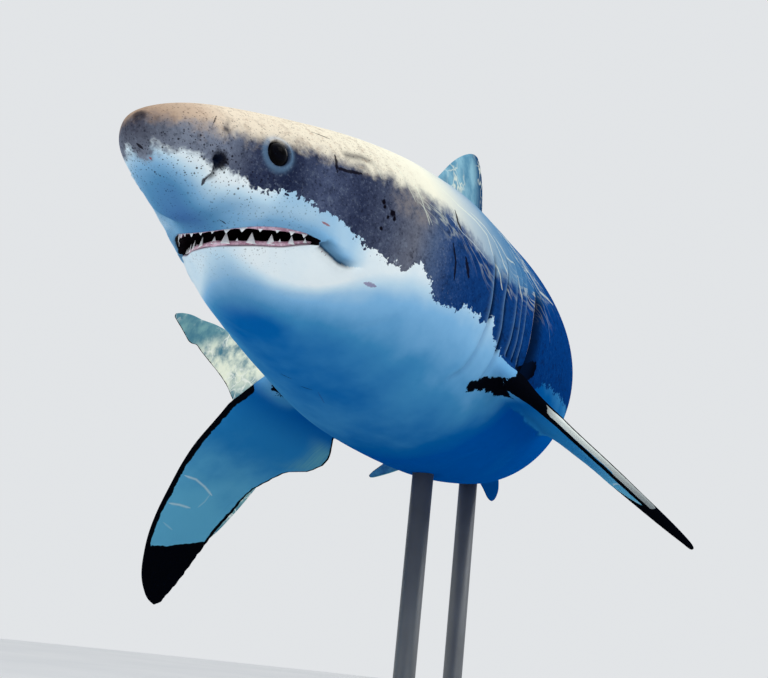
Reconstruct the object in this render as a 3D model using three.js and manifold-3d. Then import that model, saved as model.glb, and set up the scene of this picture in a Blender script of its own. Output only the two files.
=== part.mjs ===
// A great white shark at life size, turning as it swims, held up by a plain display stand.
// Millimetres, +Z up. The origin is the middle of the stand's underside.
//
// The shark is modelled in its own frame: the snout's tip at the origin, the head along +X,
// its left along +Y. "Along" is the distance from the snout's tip, measured on the bent midline.
import * as THREE from 'three';
import { ParametricGeometry } from 'three/addons/geometries/ParametricGeometry.js';
import { mergeVertices } from 'three/addons/utils/BufferGeometryUtils.js';
import Module from 'manifold-3d';

// ---------------------------------------------------------------- driving dimensions

const TOTAL_LENGTH = 4200;
const SNOUT_TIP = new THREE.Vector3(1550, 125, 1420);
const GAP = 0.3;

// Body sections: distance along, then height above and depth below the midline, and half width.
const BODY_SECTIONS = [
  { along: 0, above: 0, below: 0, half: 0 },
  { along: 25, above: 39, below: 37, half: 52 },
  { along: 84, above: 79, below: 71, half: 101 },
  { along: 210, above: 137, below: 136, half: 140 },
  { along: 378, above: 196, below: 212, half: 211 },
  { along: 588, above: 262, below: 276, half: 280 },
  { along: 840, above: 320, below: 337, half: 338 },
  { along: 1134, above: 374, below: 397, half: 362 },
  { along: 1512, above: 398, below: 421, half: 358 },
  { along: 1932, above: 352, below: 383, half: 338 },
  { along: 2352, above: 300, below: 294, half: 266 },
  { along: 2772, above: 218, below: 203, half: 186 },
  { along: 3150, above: 131, below: 115, half: 114 },
  { along: 3360, above: 94, below: 84, half: 88 },
  { along: 3490, above: 84, below: 76, half: 66 },
  { along: 3620, above: 64, below: 54, half: 34 },
  { along: 3720, above: 30, below: 22, half: 14 },
];
const BODY_END = 3720;
const SECTION_POWER = { along: [0, 1134, 1512, 4300], power: [2.1, 2.1, 1.97, 1.97] };
// Height of the widest level, as a share of the section's height from its bottom.
const WIDEST_LEVEL = {
  along: [0, 210, 630, 1260, 1932, 3486],
  share: [0.5, 0.62, 0.62, 0.478, 0.512, 0.5],
};

// The midline's bend: turn to the shark's right, climb and roll, in degrees at shares of the length.
const TURN = {
  share: [0, 0.1, 0.22, 0.36, 0.5, 0.64, 0.78, 0.92, 1.02],
  degrees: [0, 0, 1.5, 2, 24, 62, 88, 86, 85],
};
const CLIMB = { share: [0, 0.12, 0.3, 0.5, 0.7, 0.9, 1.02], degrees: [0, 0, 1, 2.5, 0, -13.5, -13.5] };
const ROLL = { share: [0, 0.35, 0.8, 1.02], degrees: [0, 0, -5.3, -5.3] };
const MIDLINE_LENGTH = 1.02 * TOTAL_LENGTH;
const MIDLINE_STEPS = 430;

// Where the body is divided.
const HEAD_END = 700;
const GILLS_END = 1345;
const CHEST_END = 1760;
const TRUNK_END = 2420;
const HEAD_RINGS = 18;
const TRUNK_RING_PITCH = 108;
const BODY_SIDES = 36;
const TIP_CROWDING = 1.7;

// Mouth, from the side: the upper lip's and the lower lip's heights at distances along.
const UPPER_LIP = [[228, -152], [248, -131], [272, -117], [304, -104], [344, -96], [381, -95], [428, -103]];
const LOWER_LIP = [
  [428, -103], [415, -105], [396, -113], [371, -127], [336, -139], [304, -147], [282, -150], [245, -172],
];
const THROAT_CUT = [[428, -103], [482, -121], [530, -135], [580, -190], [640, -430]];
const CHIN_CORNER = [200, -430];
const LIP_POINTS = 14;
const MOUTH_HALF_SPAN = 300;

// How far the skin sits in round the front of the mouth, and again below the lower lip. Each pair
// says where the recess begins and is full, or where it eases and ends.
const MOUTH_HOLLOW = { depth: 26, begins: [175, 250], ends: [290, 470], drop: [70, 125] };
const JAW_RECESS = { depth: 9, begins: [250, 285], ends: [400, 560], drop: [-8, 6], dropEnds: [20, 150] };

// Teeth: the arches that they stand on, and each tooth's place across the mouth and height.
const UPPER_ARCH = { front: 258, rise: 0.0048, power: 2 };
const LOWER_ARCH = { front: 297, rise: 0.0538, power: 1.5 };
const UPPER_TEETH = {
  left: [[24, 7], [52, 8], [79, 11], [107, 11], [131, 10], [150, 9], [166, 6]],
  right: [[4, 8], [32, 9], [60, 8], [84, 11], [110, 10], [134, 9], [156, 6]],
};
const LOWER_TEETH = {
  left: [[3, 27], [27, 26], [49, 13], [74, 26], [107, 24], [121, 11], [139, 17], [160, 9]],
  right: [[43, 26], [66, 11], [84, 24], [110, 22], [130, 12], [147, 14]],
};
const TOOTH_WIDTH_SHARE = 0.86;
const TOOTH_THICK_SHARE = 0.34;
const TOOTH_ROOT = 9;

// Eyes, nostrils and gill slits.
const EYE = { along: 268, level: 33, radius: 29, proud: 11 };
const NOSTRIL = { along: 139, level: -34, long: 17, deep: 7, high: 9, lean: 29, slant: 23 };
const GILL_SLITS = [
  { along: 1008, level: -90, height: 290, lean: 0 },
  { along: 1092, level: -70, height: 280, lean: -2 },
  { along: 1172, level: -30, height: 290, lean: -8 },
  { along: 1222, level: -15, height: 280, lean: -14 },
  { along: 1270, level: 0, height: 270, lean: -20 },
];
const GILL_WIDTH = 7;
const GILL_DEPTH = 26;

// Side keels on the tail stock.
const KEEL = { from: 2980, peak: 3330, to: 3640, out: 34, spread: 0.34 };

// Fins. Stations run from the root: span, distance back of the leading and the trailing edge, thickness.
const PECTORAL = [
  { span: -91, lead: -40, trail: 318, thick: 46 },
  { span: 0, lead: -72, trail: 340, thick: 44 },
  { span: 65, lead: -63, trail: 384, thick: 41 },
  { span: 118, lead: -54, trail: 446, thick: 38 },
  { span: 150, lead: -50, trail: 482, thick: 36 },
  { span: 192, lead: -34, trail: 500, thick: 34 },
  { span: 238, lead: -18, trail: 484, thick: 32 },
  { span: 270, lead: -8, trail: 424, thick: 30 },
  { span: 330, lead: 11, trail: 396, thick: 28 },
  { span: 403, lead: 42, trail: 379, thick: 26 },
  { span: 485, lead: 84, trail: 400, thick: 23 },
  { span: 569, lead: 128, trail: 415, thick: 20 },
  { span: 641, lead: 174, trail: 432, thick: 17 },
  { span: 700, lead: 223, trail: 446, thick: 14 },
  { span: 763, lead: 288, trail: 456, thick: 10 },
  { span: 801, lead: 347, trail: 456, thick: 8 },
  { span: 822, lead: 392, trail: 454, thick: 7 },
  { span: 831, lead: 424, trail: 448, thick: 5 },
];
const PECTORAL_ROOT = { along: 1199, across: 366, level: -212 };
const PECTORAL_LEFT = { droop: 35.6, sweep: 31.6, twist: 7.5, bend: 0.026, washout: 0.02 };
const PECTORAL_RIGHT = { droop: 21.2, sweep: 4.4, twist: 9.8, bend: -0.3175, washout: 0 };
const PECTORAL_BEND_SPAN = 756;

const FIRST_DORSAL = [
  { span: -80, lead: 0, trail: 460, thick: 52 },
  { span: 0, lead: -20, trail: 520, thick: 44 },
  { span: 17, lead: -12, trail: 570, thick: 41 },
  { span: 43, lead: 2, trail: 540, thick: 38 },
  { span: 86, lead: 24, trail: 512, thick: 34 },
  { span: 118, lead: 50, trail: 500, thick: 31 },
  { span: 160, lead: 95, trail: 492, thick: 28 },
  { span: 212, lead: 153, trail: 484, thick: 22 },
  { span: 244, lead: 194, trail: 476, thick: 18 },
  { span: 279, lead: 243, trail: 464, thick: 15 },
  { span: 305, lead: 283, trail: 446, thick: 12 },
  { span: 330, lead: 327, trail: 421, thick: 8 },
  { span: 345, lead: 362, trail: 402, thick: 5 },
];
const FIRST_DORSAL_ROOT = 1333;

const SECOND_DORSAL = [
  { span: -30, lead: 10, trail: 70, thick: 14 },
  { span: 0, lead: 0, trail: 84, thick: 12 },
  { span: 10, lead: 10, trail: 122, thick: 10 },
  { span: 30, lead: 34, trail: 92, thick: 8 },
  { span: 52, lead: 60, trail: 90, thick: 6 },
  { span: 62, lead: 74, trail: 88, thick: 4 },
];
const SECOND_DORSAL_ROOT = 3040;
const ANAL_FIN_ROOT = 3212;

const PELVIC = [
  { span: -63, lead: -30, trail: 150, thick: 24 },
  { span: 0, lead: -20, trail: 172, thick: 22 },
  { span: 28, lead: 12, trail: 204, thick: 19 },
  { span: 53, lead: 48, trail: 200, thick: 17 },
  { span: 85, lead: 96, trail: 210, thick: 14 },
  { span: 111, lead: 134, trail: 222, thick: 12 },
  { span: 140, lead: 180, trail: 234, thick: 9 },
  { span: 160, lead: 214, trail: 236, thick: 6 },
];
const PELVIC_ROOT = { along: 2328, acrossShare: 0.5, depthShare: 0.89 };
const PELVIC_LEFT = { droop: 32.3, tilt: 4 };
const PELVIC_RIGHT = { droop: 59, tilt: 19.6 };

const CAUDAL_UPPER = [
  { span: 0, lead: 46, trail: 364, thick: 44 },
  { span: 66, lead: 30, trail: 370, thick: 42 },
  { span: 130, lead: 84, trail: 390, thick: 38 },
  { span: 206, lead: 128, trail: 432, thick: 33 },
  { span: 274, lead: 192, trail: 462, thick: 30 },
  { span: 372, lead: 280, trail: 524, thick: 26 },
  { span: 444, lead: 330, trail: 578, thick: 23 },
  { span: 532, lead: 410, trail: 643, thick: 20 },
  { span: 568, lead: 450, trail: 668, thick: 18 },
  { span: 584, lead: 470, trail: 698, thick: 17 },
  { span: 604, lead: 494, trail: 719, thick: 16 },
  { span: 640, lead: 540, trail: 740, thick: 14 },
  { span: 701, lead: 634, trail: 775, thick: 11 },
  { span: 755, lead: 708, trail: 808, thick: 8 },
  { span: 785, lead: 768, trail: 822, thick: 6 },
  { span: 797, lead: 806, trail: 820, thick: 4 },
];
const CAUDAL_LOWER = [
  { span: 0, lead: 46, trail: 364, thick: 44 },
  { span: 44, lead: 32, trail: 362, thick: 41 },
  { span: 97, lead: 84, trail: 370, thick: 37 },
  { span: 190, lead: 182, trail: 402, thick: 31 },
  { span: 290, lead: 300, trail: 462, thick: 25 },
  { span: 376, lead: 412, trail: 532, thick: 18 },
  { span: 440, lead: 506, trail: 594, thick: 11 },
  { span: 474, lead: 574, trail: 616, thick: 6 },
];
const CAUDAL_ROOT = 3360;
const FIN_EDGE = 2.4;
const FIN_FULLNESS = 2.6;
const FIN_SECTION_POINTS = 11;
const FIN_SEAT = 8;
const SKIN_CLEARANCE = 0.5;

// Stand: a flat plate with rounded corners, and two rods with a foot flange.
const BASE = { long: 1500, wide: 1180, thick: 40, corner: 120, bevel: 4 };
const RODS = { stand_rod_front: 1480, stand_rod_rear: 2080 };
const ROD_RADIUS = 32;
const ROD_FLANGE = { radius: 95, height: 16 };
const ROD_SINK = 60;
const ROD_SIDES = 24;

// ---------------------------------------------------------------- materials

function finish(color, roughness, metalness = 0) {
  return new THREE.MeshStandardMaterial({ color, roughness, metalness });
}

const slateSkin = finish(0x3d4656, 0.42);
const paleSkin = finish(0xd9e6ee, 0.4);
const blueSkin = finish(0x2c6ca8, 0.42);
const eyeBlack = finish(0x06070a, 0.06);
const standSteel = finish(0x3a3d40, 0.45, 0.6);

// ---------------------------------------------------------------- curves

// A smooth curve through the values at the knots that never overshoots them.
function smoothCurve(knots, values) {
  const widths = knots.slice(1).map((knot, i) => knot - knots[i]);
  const slopes = widths.map((width, i) => (values[i + 1] - values[i]) / width);
  const tangents = values.map((_, i) => {
    if (i === 0) return slopes[0];
    if (i === slopes.length) return slopes[i - 1];
    if (slopes[i - 1] * slopes[i] <= 0) return 0;
    const before = 2 * widths[i] + widths[i - 1];
    const after = widths[i] + 2 * widths[i - 1];
    return (before + after) / (before / slopes[i - 1] + after / slopes[i]);
  });
  return (x) => {
    const clamped = THREE.MathUtils.clamp(x, knots[0], knots[knots.length - 1]);
    const i = Math.min(knots.findLastIndex((knot) => knot <= clamped), widths.length - 1);
    const t = (clamped - knots[i]) / widths[i];
    const start = values[i] * (1 + 2 * t) * (1 - t) ** 2;
    const end = values[i + 1] * t * t * (3 - 2 * t);
    const rise = tangents[i] * t * (1 - t) ** 2 + tangents[i + 1] * t * t * (t - 1);
    return start + end + widths[i] * rise;
  };
}

const smoothStep = THREE.MathUtils.smoothstep;
const radians = THREE.MathUtils.degToRad;

// Section sizes vary with the square root of the distance along, which rounds the snout's tip.
const rootsAlong = BODY_SECTIONS.map((section) => Math.sqrt(section.along));
const sectionCurve = (key) => smoothCurve(rootsAlong, BODY_SECTIONS.map((section) => section[key]));
const heightAbove = sectionCurve('above');
const depthBelow = sectionCurve('below');
const halfWidth = sectionCurve('half');
const widestShare = smoothCurve(WIDEST_LEVEL.along, WIDEST_LEVEL.share);
const powerAt = smoothCurve(SECTION_POWER.along, SECTION_POWER.power);
const lengthsAt = (bend) => bend.share.map((share) => share * TOTAL_LENGTH);
const bendCurve = (bend) => smoothCurve(lengthsAt(bend), bend.degrees.map(radians));
const turnAt = bendCurve(TURN);
const climbAt = bendCurve(CLIMB);
const rollAt = bendCurve(ROLL);
const lipCurve = (lip) => smoothCurve(lip.map(([along]) => along), lip.map(([, level]) => level));
const upperLipLevel = lipCurve(UPPER_LIP);
const lowerLipLevel = lipCurve(LOWER_LIP.toReversed());

// ---------------------------------------------------------------- the bent midline

function headingAt(along) {
  const turn = turnAt(along);
  const climb = climbAt(along);
  return new THREE.Vector3(Math.cos(turn), Math.sin(turn), -Math.tan(climb)).normalize();
}

// Frames along the midline: its point, the way forward, the shark's left and its up.
function makeMidline() {
  const step = MIDLINE_LENGTH / MIDLINE_STEPS;
  const frames = [];
  const point = new THREE.Vector3();
  let lastHeading = headingAt(0);
  for (let i = 0; i <= MIDLINE_STEPS; i++) {
    const along = i * step;
    const forward = headingAt(along);
    if (i > 0) point.addScaledVector(lastHeading.clone().add(forward), -step / 2);
    const left = new THREE.Vector3(0, 0, 1).cross(forward).normalize();
    left.applyAxisAngle(forward, rollAt(along));
    frames.push({ point: point.clone(), forward, left, up: forward.clone().cross(left) });
    lastHeading = forward;
  }
  return { step, frames };
}

const midline = makeMidline();

// The point at a distance along the midline, moved to the shark's left and up.
function place(along, across, level) {
  const index = Math.floor(along / midline.step);
  const low = midline.frames[index];
  const high = midline.frames[index + 1];
  const blend = along / midline.step - index;
  const mix = (key) => low[key].clone().lerp(high[key], blend);
  return mix('point').addScaledVector(mix('left'), across).addScaledVector(mix('up'), level);
}

function frameAt(along) {
  return midline.frames[Math.round(along / midline.step)];
}

// ---------------------------------------------------------------- the body's surface

// How far the surface sits in round the front of the mouth, and again just below the lower lip.
function mouthRecess(along, level) {
  const lengthwise = ({ begins, ends }) => smoothStep(along, ...begins) * (1 - smoothStep(along, ...ends));
  const belowLip = lowerLipLevel(along) - level;
  const atLip = smoothStep(belowLip, ...JAW_RECESS.drop) * (1 - smoothStep(belowLip, ...JAW_RECESS.dropEnds));
  const hollow = lengthwise(MOUTH_HOLLOW) * smoothStep(-level, ...MOUTH_HOLLOW.drop);
  return MOUTH_HOLLOW.depth * hollow + JAW_RECESS.depth * lengthwise(JAW_RECESS) * atLip;
}

// How far the keels stand out, on both sides of the tail stock.
function keelOut(along, angle) {
  const share = smoothStep(along, KEEL.from, KEEL.peak) * (1 - smoothStep(along, KEEL.peak, KEEL.to));
  const offSide = Math.asin(Math.abs(Math.sin(angle))) / KEEL.spread;
  return KEEL.out * share * Math.exp(-offSide * offSide);
}

// A point of the surface: angle 0 is the shark's left, a quarter turn is its back.
function bodyPoint(along, angle, swell = 0) {
  const root = Math.sqrt(along);
  const above = heightAbove(root);
  const below = depthBelow(root);
  const half = halfWidth(root);
  const widest = (above + below) * widestShare(along) - below;
  const cos = Math.cos(angle);
  const sin = Math.sin(angle);
  const power = 2 / powerAt(along);
  const reach = sin >= 0 ? above - widest : widest + below;
  const across = half * Math.sign(cos) * Math.abs(cos) ** power;
  const level = widest + reach * Math.sign(sin) * Math.abs(sin) ** power;
  const outward = new THREE.Vector2(cos * reach, sin * half).normalize();
  const out = swell + keelOut(along, angle) - mouthRecess(along, level);
  return { along, across: across + outward.x * out, level: level + outward.y * out };
}

// A closed length of the body, with flat ends or with the rounded snout.
function bodyLength(from, to, rings, swell = 0) {
  const alongAt = (share) => from + (to - from) * (from > 0 ? share : share ** TIP_CROWDING);
  return parametric((around, share, target) => {
    const ring = share * (rings + 2);
    const atEnd = ring < 0.5 || ring > rings + 1.5;
    const along = alongAt(THREE.MathUtils.clamp((ring - 1) / rings, 0, 1));
    if (atEnd) {
      const middle = (heightAbove(Math.sqrt(along)) - depthBelow(Math.sqrt(along))) / 2;
      target.copy(place(along, 0, along > 0 ? middle : 0));
      return;
    }
    const spot = bodyPoint(along, around * 2 * Math.PI, along > 0 ? swell : 0);
    target.copy(place(spot.along, spot.across, spot.level));
  }, BODY_SIDES, rings + 2);
}

// ---------------------------------------------------------------- solids

const wasm = await Module();
wasm.setup();

// A closed three.js surface as a manifold-3d solid, without its collapsed triangles.
function toSolid(geometry) {
  const bare = geometry.clone();
  bare.deleteAttribute('normal');
  bare.deleteAttribute('uv');
  const merged = mergeVertices(bare);
  const index = merged.index.array;
  const triVerts = [];
  for (let i = 0; i < index.length; i += 3) {
    const [a, b, c] = [index[i], index[i + 1], index[i + 2]];
    if (a !== b && b !== c && c !== a) triVerts.push(a, b, c);
  }
  const surface = new wasm.Mesh({
    numProp: 3,
    vertProperties: new Float32Array(merged.attributes.position.array),
    triVerts: new Uint32Array(triVerts),
  });
  return new wasm.Manifold(surface);
}

function toGeometry(solid) {
  const mesh = solid.getMesh();
  const geometry = new THREE.BufferGeometry();
  geometry.setAttribute('position', new THREE.BufferAttribute(new Float32Array(mesh.vertProperties), 3));
  geometry.setIndex(new THREE.BufferAttribute(new Uint32Array(mesh.triVerts), 1));
  const flat = geometry.toNonIndexed();
  flat.computeVertexNormals();
  return flat;
}

// A closed surface from a function of two shares, turned right side out.
function parametric(pointAt, columns, rows) {
  const surface = toSolid(new ParametricGeometry(pointAt, columns, rows));
  if (surface.volume() > 0) return surface;
  const turned = (around, share, target) => pointAt(1 - around, share, target);
  return toSolid(new ParametricGeometry(turned, columns, rows));
}

function joinAll(solids) {
  return solids.reduce((joined, solid) => joined.add(solid));
}

// A prism across the whole head, from an outline of distances along and levels.
function acrossPrism(outline, halfSpan) {
  const shape = new THREE.Shape(outline.map(([along, level]) => new THREE.Vector2(-along, level)));
  const prism = new THREE.ExtrudeGeometry(shape, { depth: 2 * halfSpan, bevelEnabled: false });
  prism.rotateX(Math.PI / 2);
  prism.translate(0, halfSpan, 0);
  return toSolid(prism);
}

// A smooth run of points through the given ones.
function smoothRun(points, count) {
  const curve = new THREE.SplineCurve(points.map(([along, level]) => new THREE.Vector2(along, level)));
  return curve.getPoints(count).map((point) => [point.x, point.y]);
}

// ---------------------------------------------------------------- head and jaws

// Half the body's width at a distance along and a level, from its plain section.
function widthAt(along, level) {
  const root = Math.sqrt(along);
  const above = heightAbove(root);
  const below = depthBelow(root);
  const widest = (above + below) * widestShare(along) - below;
  const reach = level >= widest ? above - widest : widest + below;
  const share = Math.abs(level - widest) / reach;
  const power = powerAt(along);
  return halfWidth(root) * Math.max(0, 1 - share ** power) ** (1 / power);
}

// One tooth: a flat, four-sided blade that points up or down from its root in the jaw.
function tooth(along, across, level, height, pointsUp, facing) {
  const length = height + TOOTH_ROOT;
  const blade = new THREE.ConeGeometry((length * TOOTH_WIDTH_SHARE) / 2, length, 4);
  blade.scale(1, 1, TOOTH_THICK_SHARE);
  blade.rotateX(pointsUp ? Math.PI / 2 : -Math.PI / 2);
  blade.translate(0, 0, (pointsUp ? 1 : -1) * (length / 2 - TOOTH_ROOT));
  blade.rotateZ(facing);
  blade.translate(-along, across, level);
  return toSolid(blade);
}

// A row of teeth on both sides of an arch, rooted in the jaw at the lip's level.
function toothRow(teeth, arch, lipLevel, pointsUp) {
  const row = [];
  for (const [side, places] of [[1, teeth.left], [-1, teeth.right]]) {
    for (const [across, height] of places) {
      const along = arch.front + arch.rise * across ** arch.power;
      const slope = arch.rise * arch.power * across ** (arch.power - 1);
      const facing = side * (Math.PI / 2 + Math.atan(slope));
      row.push(tooth(along, side * across, lipLevel(along), height, pointsUp, facing));
    }
  }
  return joinAll(row);
}

// The opening between the lips, and the jaw below it down to the throat.
function mouthGap() {
  const upper = smoothRun(UPPER_LIP, LIP_POINTS);
  const lower = smoothRun(LOWER_LIP, LIP_POINTS).slice(1);
  return acrossPrism([...upper, ...lower], MOUTH_HALF_SPAN);
}

function jawBlock(grow) {
  const lip = smoothRun(LOWER_LIP, LIP_POINTS).toReversed();
  const throat = smoothRun(THROAT_CUT, LIP_POINTS).slice(1);
  const outline = lip.map(([along, level]) => [along, level + grow]);
  outline.push(...throat.map(([along, level]) => [along + grow, level + grow]));
  outline.push(CHIN_CORNER);
  return acrossPrism(outline, MOUTH_HALF_SPAN - 1);
}

function eyeCentre(side) {
  const across = widthAt(EYE.along, EYE.level) + EYE.proud - EYE.radius;
  return place(EYE.along, side * across, EYE.level);
}

function eyeBall(side, grow = 0) {
  const ball = new THREE.SphereGeometry(EYE.radius + grow, 12, 9);
  ball.translate(...eyeCentre(side));
  return toSolid(ball);
}

function nostrilPit(side) {
  const pit = new THREE.SphereGeometry(1, 10, 6);
  pit.scale(NOSTRIL.long, NOSTRIL.deep, NOSTRIL.high);
  pit.rotateX(side * radians(NOSTRIL.lean));
  pit.rotateZ(side * radians(NOSTRIL.slant));
  pit.translate(...place(NOSTRIL.along, side * widthAt(NOSTRIL.along, NOSTRIL.level), NOSTRIL.level));
  return toSolid(pit);
}

function headSolid() {
  let head = bodyLength(0, HEAD_END, HEAD_RINGS).subtract(mouthGap()).subtract(jawBlock(GAP));
  for (const side of [1, -1]) {
    head = head.subtract(eyeBall(side, GAP)).subtract(nostrilPit(side));
  }
  return head.add(toothRow(UPPER_TEETH, UPPER_ARCH, upperLipLevel, false));
}

function lowerJawSolid() {
  const jaw = bodyLength(0, HEAD_END, HEAD_RINGS).intersect(jawBlock(0)).subtract(mouthGap());
  return jaw.add(toothRow(LOWER_TEETH, LOWER_ARCH, lowerLipLevel, true));
}

// ---------------------------------------------------------------- gills and trunk

// A thin blade that cuts one gill slit into the side.
function gillBlade(slit, side) {
  const blade = new THREE.BoxGeometry(GILL_WIDTH, 2 * GILL_DEPTH, slit.height);
  blade.rotateY(radians(slit.lean));
  blade.rotateZ(turnAt(slit.along));
  blade.translate(...place(slit.along, side * widthAt(slit.along, slit.level), slit.level));
  return toSolid(blade);
}

function trunkSolid(from, to, swell = 0) {
  return bodyLength(from + GAP, to, Math.round((to - from) / TRUNK_RING_PITCH), swell);
}

function gillSolid() {
  const blades = [1, -1].flatMap((side) => GILL_SLITS.map((slit) => gillBlade(slit, side)));
  return trunkSolid(HEAD_END, GILLS_END).subtract(joinAll(blades));
}

// The body behind the head without details, slightly swollen, to trim the fins and rods that meet it.
function trimmingBody() {
  const ends = [HEAD_END, GILLS_END, CHEST_END, TRUNK_END, BODY_END];
  const lengths = ends.slice(1).map((end, i) => trunkSolid(ends[i], end, SKIN_CLEARANCE));
  const joints = ends.slice(1, -1).map((end) => bodyLength(end - GAP, end + 2 * GAP, 1, SKIN_CLEARANCE));
  return joinAll([...lengths, ...joints]);
}

// ---------------------------------------------------------------- fins

// Section points of a fin from its blunt trailing edge round its leading edge, as shares of the
// chord and of the thickness.
function finSection(share) {
  const turn = share * 2 * Math.PI;
  const back = (1 + Math.cos(turn)) / 2;
  const side = share < 0.5 ? 1 : -1;
  return { back, side, thick: FIN_FULLNESS * Math.sqrt(back) * (1 - back) };
}

// A fin as a closed surface: pointAt(span, back, thickness) puts each section point in its place.
function finSolid(stations, pointAt) {
  const spans = stations.map((station) => station.span);
  const curve = (key) => smoothCurve(spans, stations.map((station) => station[key]));
  const [lead, trail, thick] = ['lead', 'trail', 'thick'].map(curve);
  const rows = stations.length + 1;
  return parametric((around, share, target) => {
    const row = Math.round(share * rows);
    const span = spans[THREE.MathUtils.clamp(row - 1, 0, stations.length - 1)];
    const middle = (lead(span) + trail(span)) / 2;
    if (row === 0 || row === rows) {
      target.copy(pointAt(span, middle, 0));
      return;
    }
    const step = Math.round(around * FIN_SECTION_POINTS) % FIN_SECTION_POINTS;
    const section = finSection((step + 0.5) / FIN_SECTION_POINTS);
    const back = THREE.MathUtils.lerp(lead(span), trail(span), section.back);
    const atFrontEdge = step * 2 + 1 === FIN_SECTION_POINTS;
    const half = atFrontEdge ? 0 : (thick(span) * section.thick + FIN_EDGE) / 2;
    target.copy(pointAt(span, back, section.side * half));
  }, FIN_SECTION_POINTS, rows);
}

// A paired breast fin, drooped, swept and bent as it steers.
function pectoralSolid(side, pose) {
  const frame = frameAt(PECTORAL_ROOT.along);
  const root = place(PECTORAL_ROOT.along, side * PECTORAL_ROOT.across, PECTORAL_ROOT.level);
  const droop = radians(pose.droop);
  const out = frame.left.clone().multiplyScalar(side * Math.cos(droop));
  out.addScaledVector(frame.up, -Math.sin(droop));
  const back = frame.forward.clone().negate();
  const over = out.clone().cross(back).normalize();
  if (over.dot(frame.up) < 0) over.negate();
  const twist = radians(pose.twist);
  back.multiplyScalar(Math.cos(twist)).addScaledVector(over, -Math.sin(twist));
  const sweep = radians(pose.sweep);
  const spanWay = out.clone().multiplyScalar(Math.cos(sweep)).addScaledVector(back, Math.sin(sweep));
  const chordWay = back.clone().multiplyScalar(Math.cos(sweep)).addScaledVector(out, -Math.sin(sweep));
  const thickWay = spanWay.clone().cross(chordWay).normalize();
  return finSolid(PECTORAL, (span, chord, thickness) => {
    const outer = (Math.max(span, 0) / PECTORAL_BEND_SPAN) ** 2;
    const lift = (pose.bend * PECTORAL_BEND_SPAN + pose.washout * chord) * outer;
    return root.clone().addScaledVector(chordWay, chord).addScaledVector(spanWay, span)
      .addScaledVector(thickWay, thickness).addScaledVector(frame.up, lift);
  });
}

// A fin that stands on the midline of the back, or hangs below the belly.
function medianFinSolid(stations, root, side) {
  const surface = side > 0 ? heightAbove : depthBelow;
  return finSolid(stations, (span, chord, thickness) => {
    const along = root + chord;
    return place(along, thickness, side * (surface(Math.sqrt(along)) - FIN_SEAT + span));
  });
}

// A belly fin, drooped outwards, with its trailing edge tilted up.
function pelvicSolid(side, pose) {
  const root = Math.sqrt(PELVIC_ROOT.along);
  const across = PELVIC_ROOT.acrossShare * halfWidth(root);
  const level = -PELVIC_ROOT.depthShare * depthBelow(root);
  const droop = radians(pose.droop);
  const tilt = radians(pose.tilt);
  return finSolid(PELVIC, (span, chord, thickness) => {
    const along = chord * Math.cos(tilt) - thickness * Math.sin(tilt);
    const over = thickness * Math.cos(tilt) + chord * Math.sin(tilt);
    const outward = across + span * Math.cos(droop) + over * Math.sin(droop);
    const drop = level - span * Math.sin(droop) + over * Math.cos(droop);
    return place(PELVIC_ROOT.along + along, side * outward, drop);
  });
}

// One lobe of the tail fin, up or down from the midline.
function caudalSolid(stations, side) {
  return finSolid(stations, (span, chord, thickness) => {
    return place(CAUDAL_ROOT + chord, thickness, side * (span + GAP / 2));
  });
}

// ---------------------------------------------------------------- stand

function basePlate() {
  const { long, wide, thick, corner, bevel } = BASE;
  const [x, y] = [long / 2 - bevel, wide / 2 - bevel];
  const plate = new THREE.Shape();
  plate.moveTo(x - corner, -y);
  plate.absarc(x - corner, corner - y, corner, -Math.PI / 2, 0);
  plate.absarc(x - corner, y - corner, corner, 0, Math.PI / 2);
  plate.absarc(corner - x, y - corner, corner, Math.PI / 2, Math.PI);
  plate.absarc(corner - x, corner - y, corner, Math.PI, 1.5 * Math.PI);
  const edge = { bevelThickness: bevel, bevelSize: bevel, bevelSegments: 1, curveSegments: 4 };
  const geometry = new THREE.ExtrudeGeometry(plate, { depth: thick - 2 * bevel, ...edge });
  geometry.translate(0, 0, bevel);
  return toSolid(geometry);
}

// A rod with a foot flange, from the plate up to the belly at a distance along.
function rodSolid(along, body) {
  const foot = place(along, 0, 0).add(SNOUT_TIP);
  const bottom = BASE.thick + GAP;
  const top = foot.z - depthBelow(Math.sqrt(along)) + ROD_SINK;
  const profile = [
    [0, bottom],
    [ROD_FLANGE.radius, bottom],
    [ROD_FLANGE.radius, bottom + ROD_FLANGE.height],
    [ROD_RADIUS, bottom + ROD_FLANGE.height],
    [ROD_RADIUS, top],
    [0, top],
  ];
  const outline = profile.map(([radius, height]) => new THREE.Vector2(radius, height));
  const rod = new THREE.LatheGeometry(outline, ROD_SIDES);
  rod.rotateX(Math.PI / 2);
  rod.translate(foot.x, foot.y, 0);
  return toSolid(rod).subtract(body.translate(...SNOUT_TIP));
}

// ---------------------------------------------------------------- assembly

function addPart(group, name, solid, material) {
  const mesh = new THREE.Mesh(toGeometry(solid), material);
  mesh.name = name;
  group.add(mesh);
}

const model = new THREE.Group();
const shark = new THREE.Group();
shark.position.copy(SNOUT_TIP);
model.add(shark);

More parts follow.
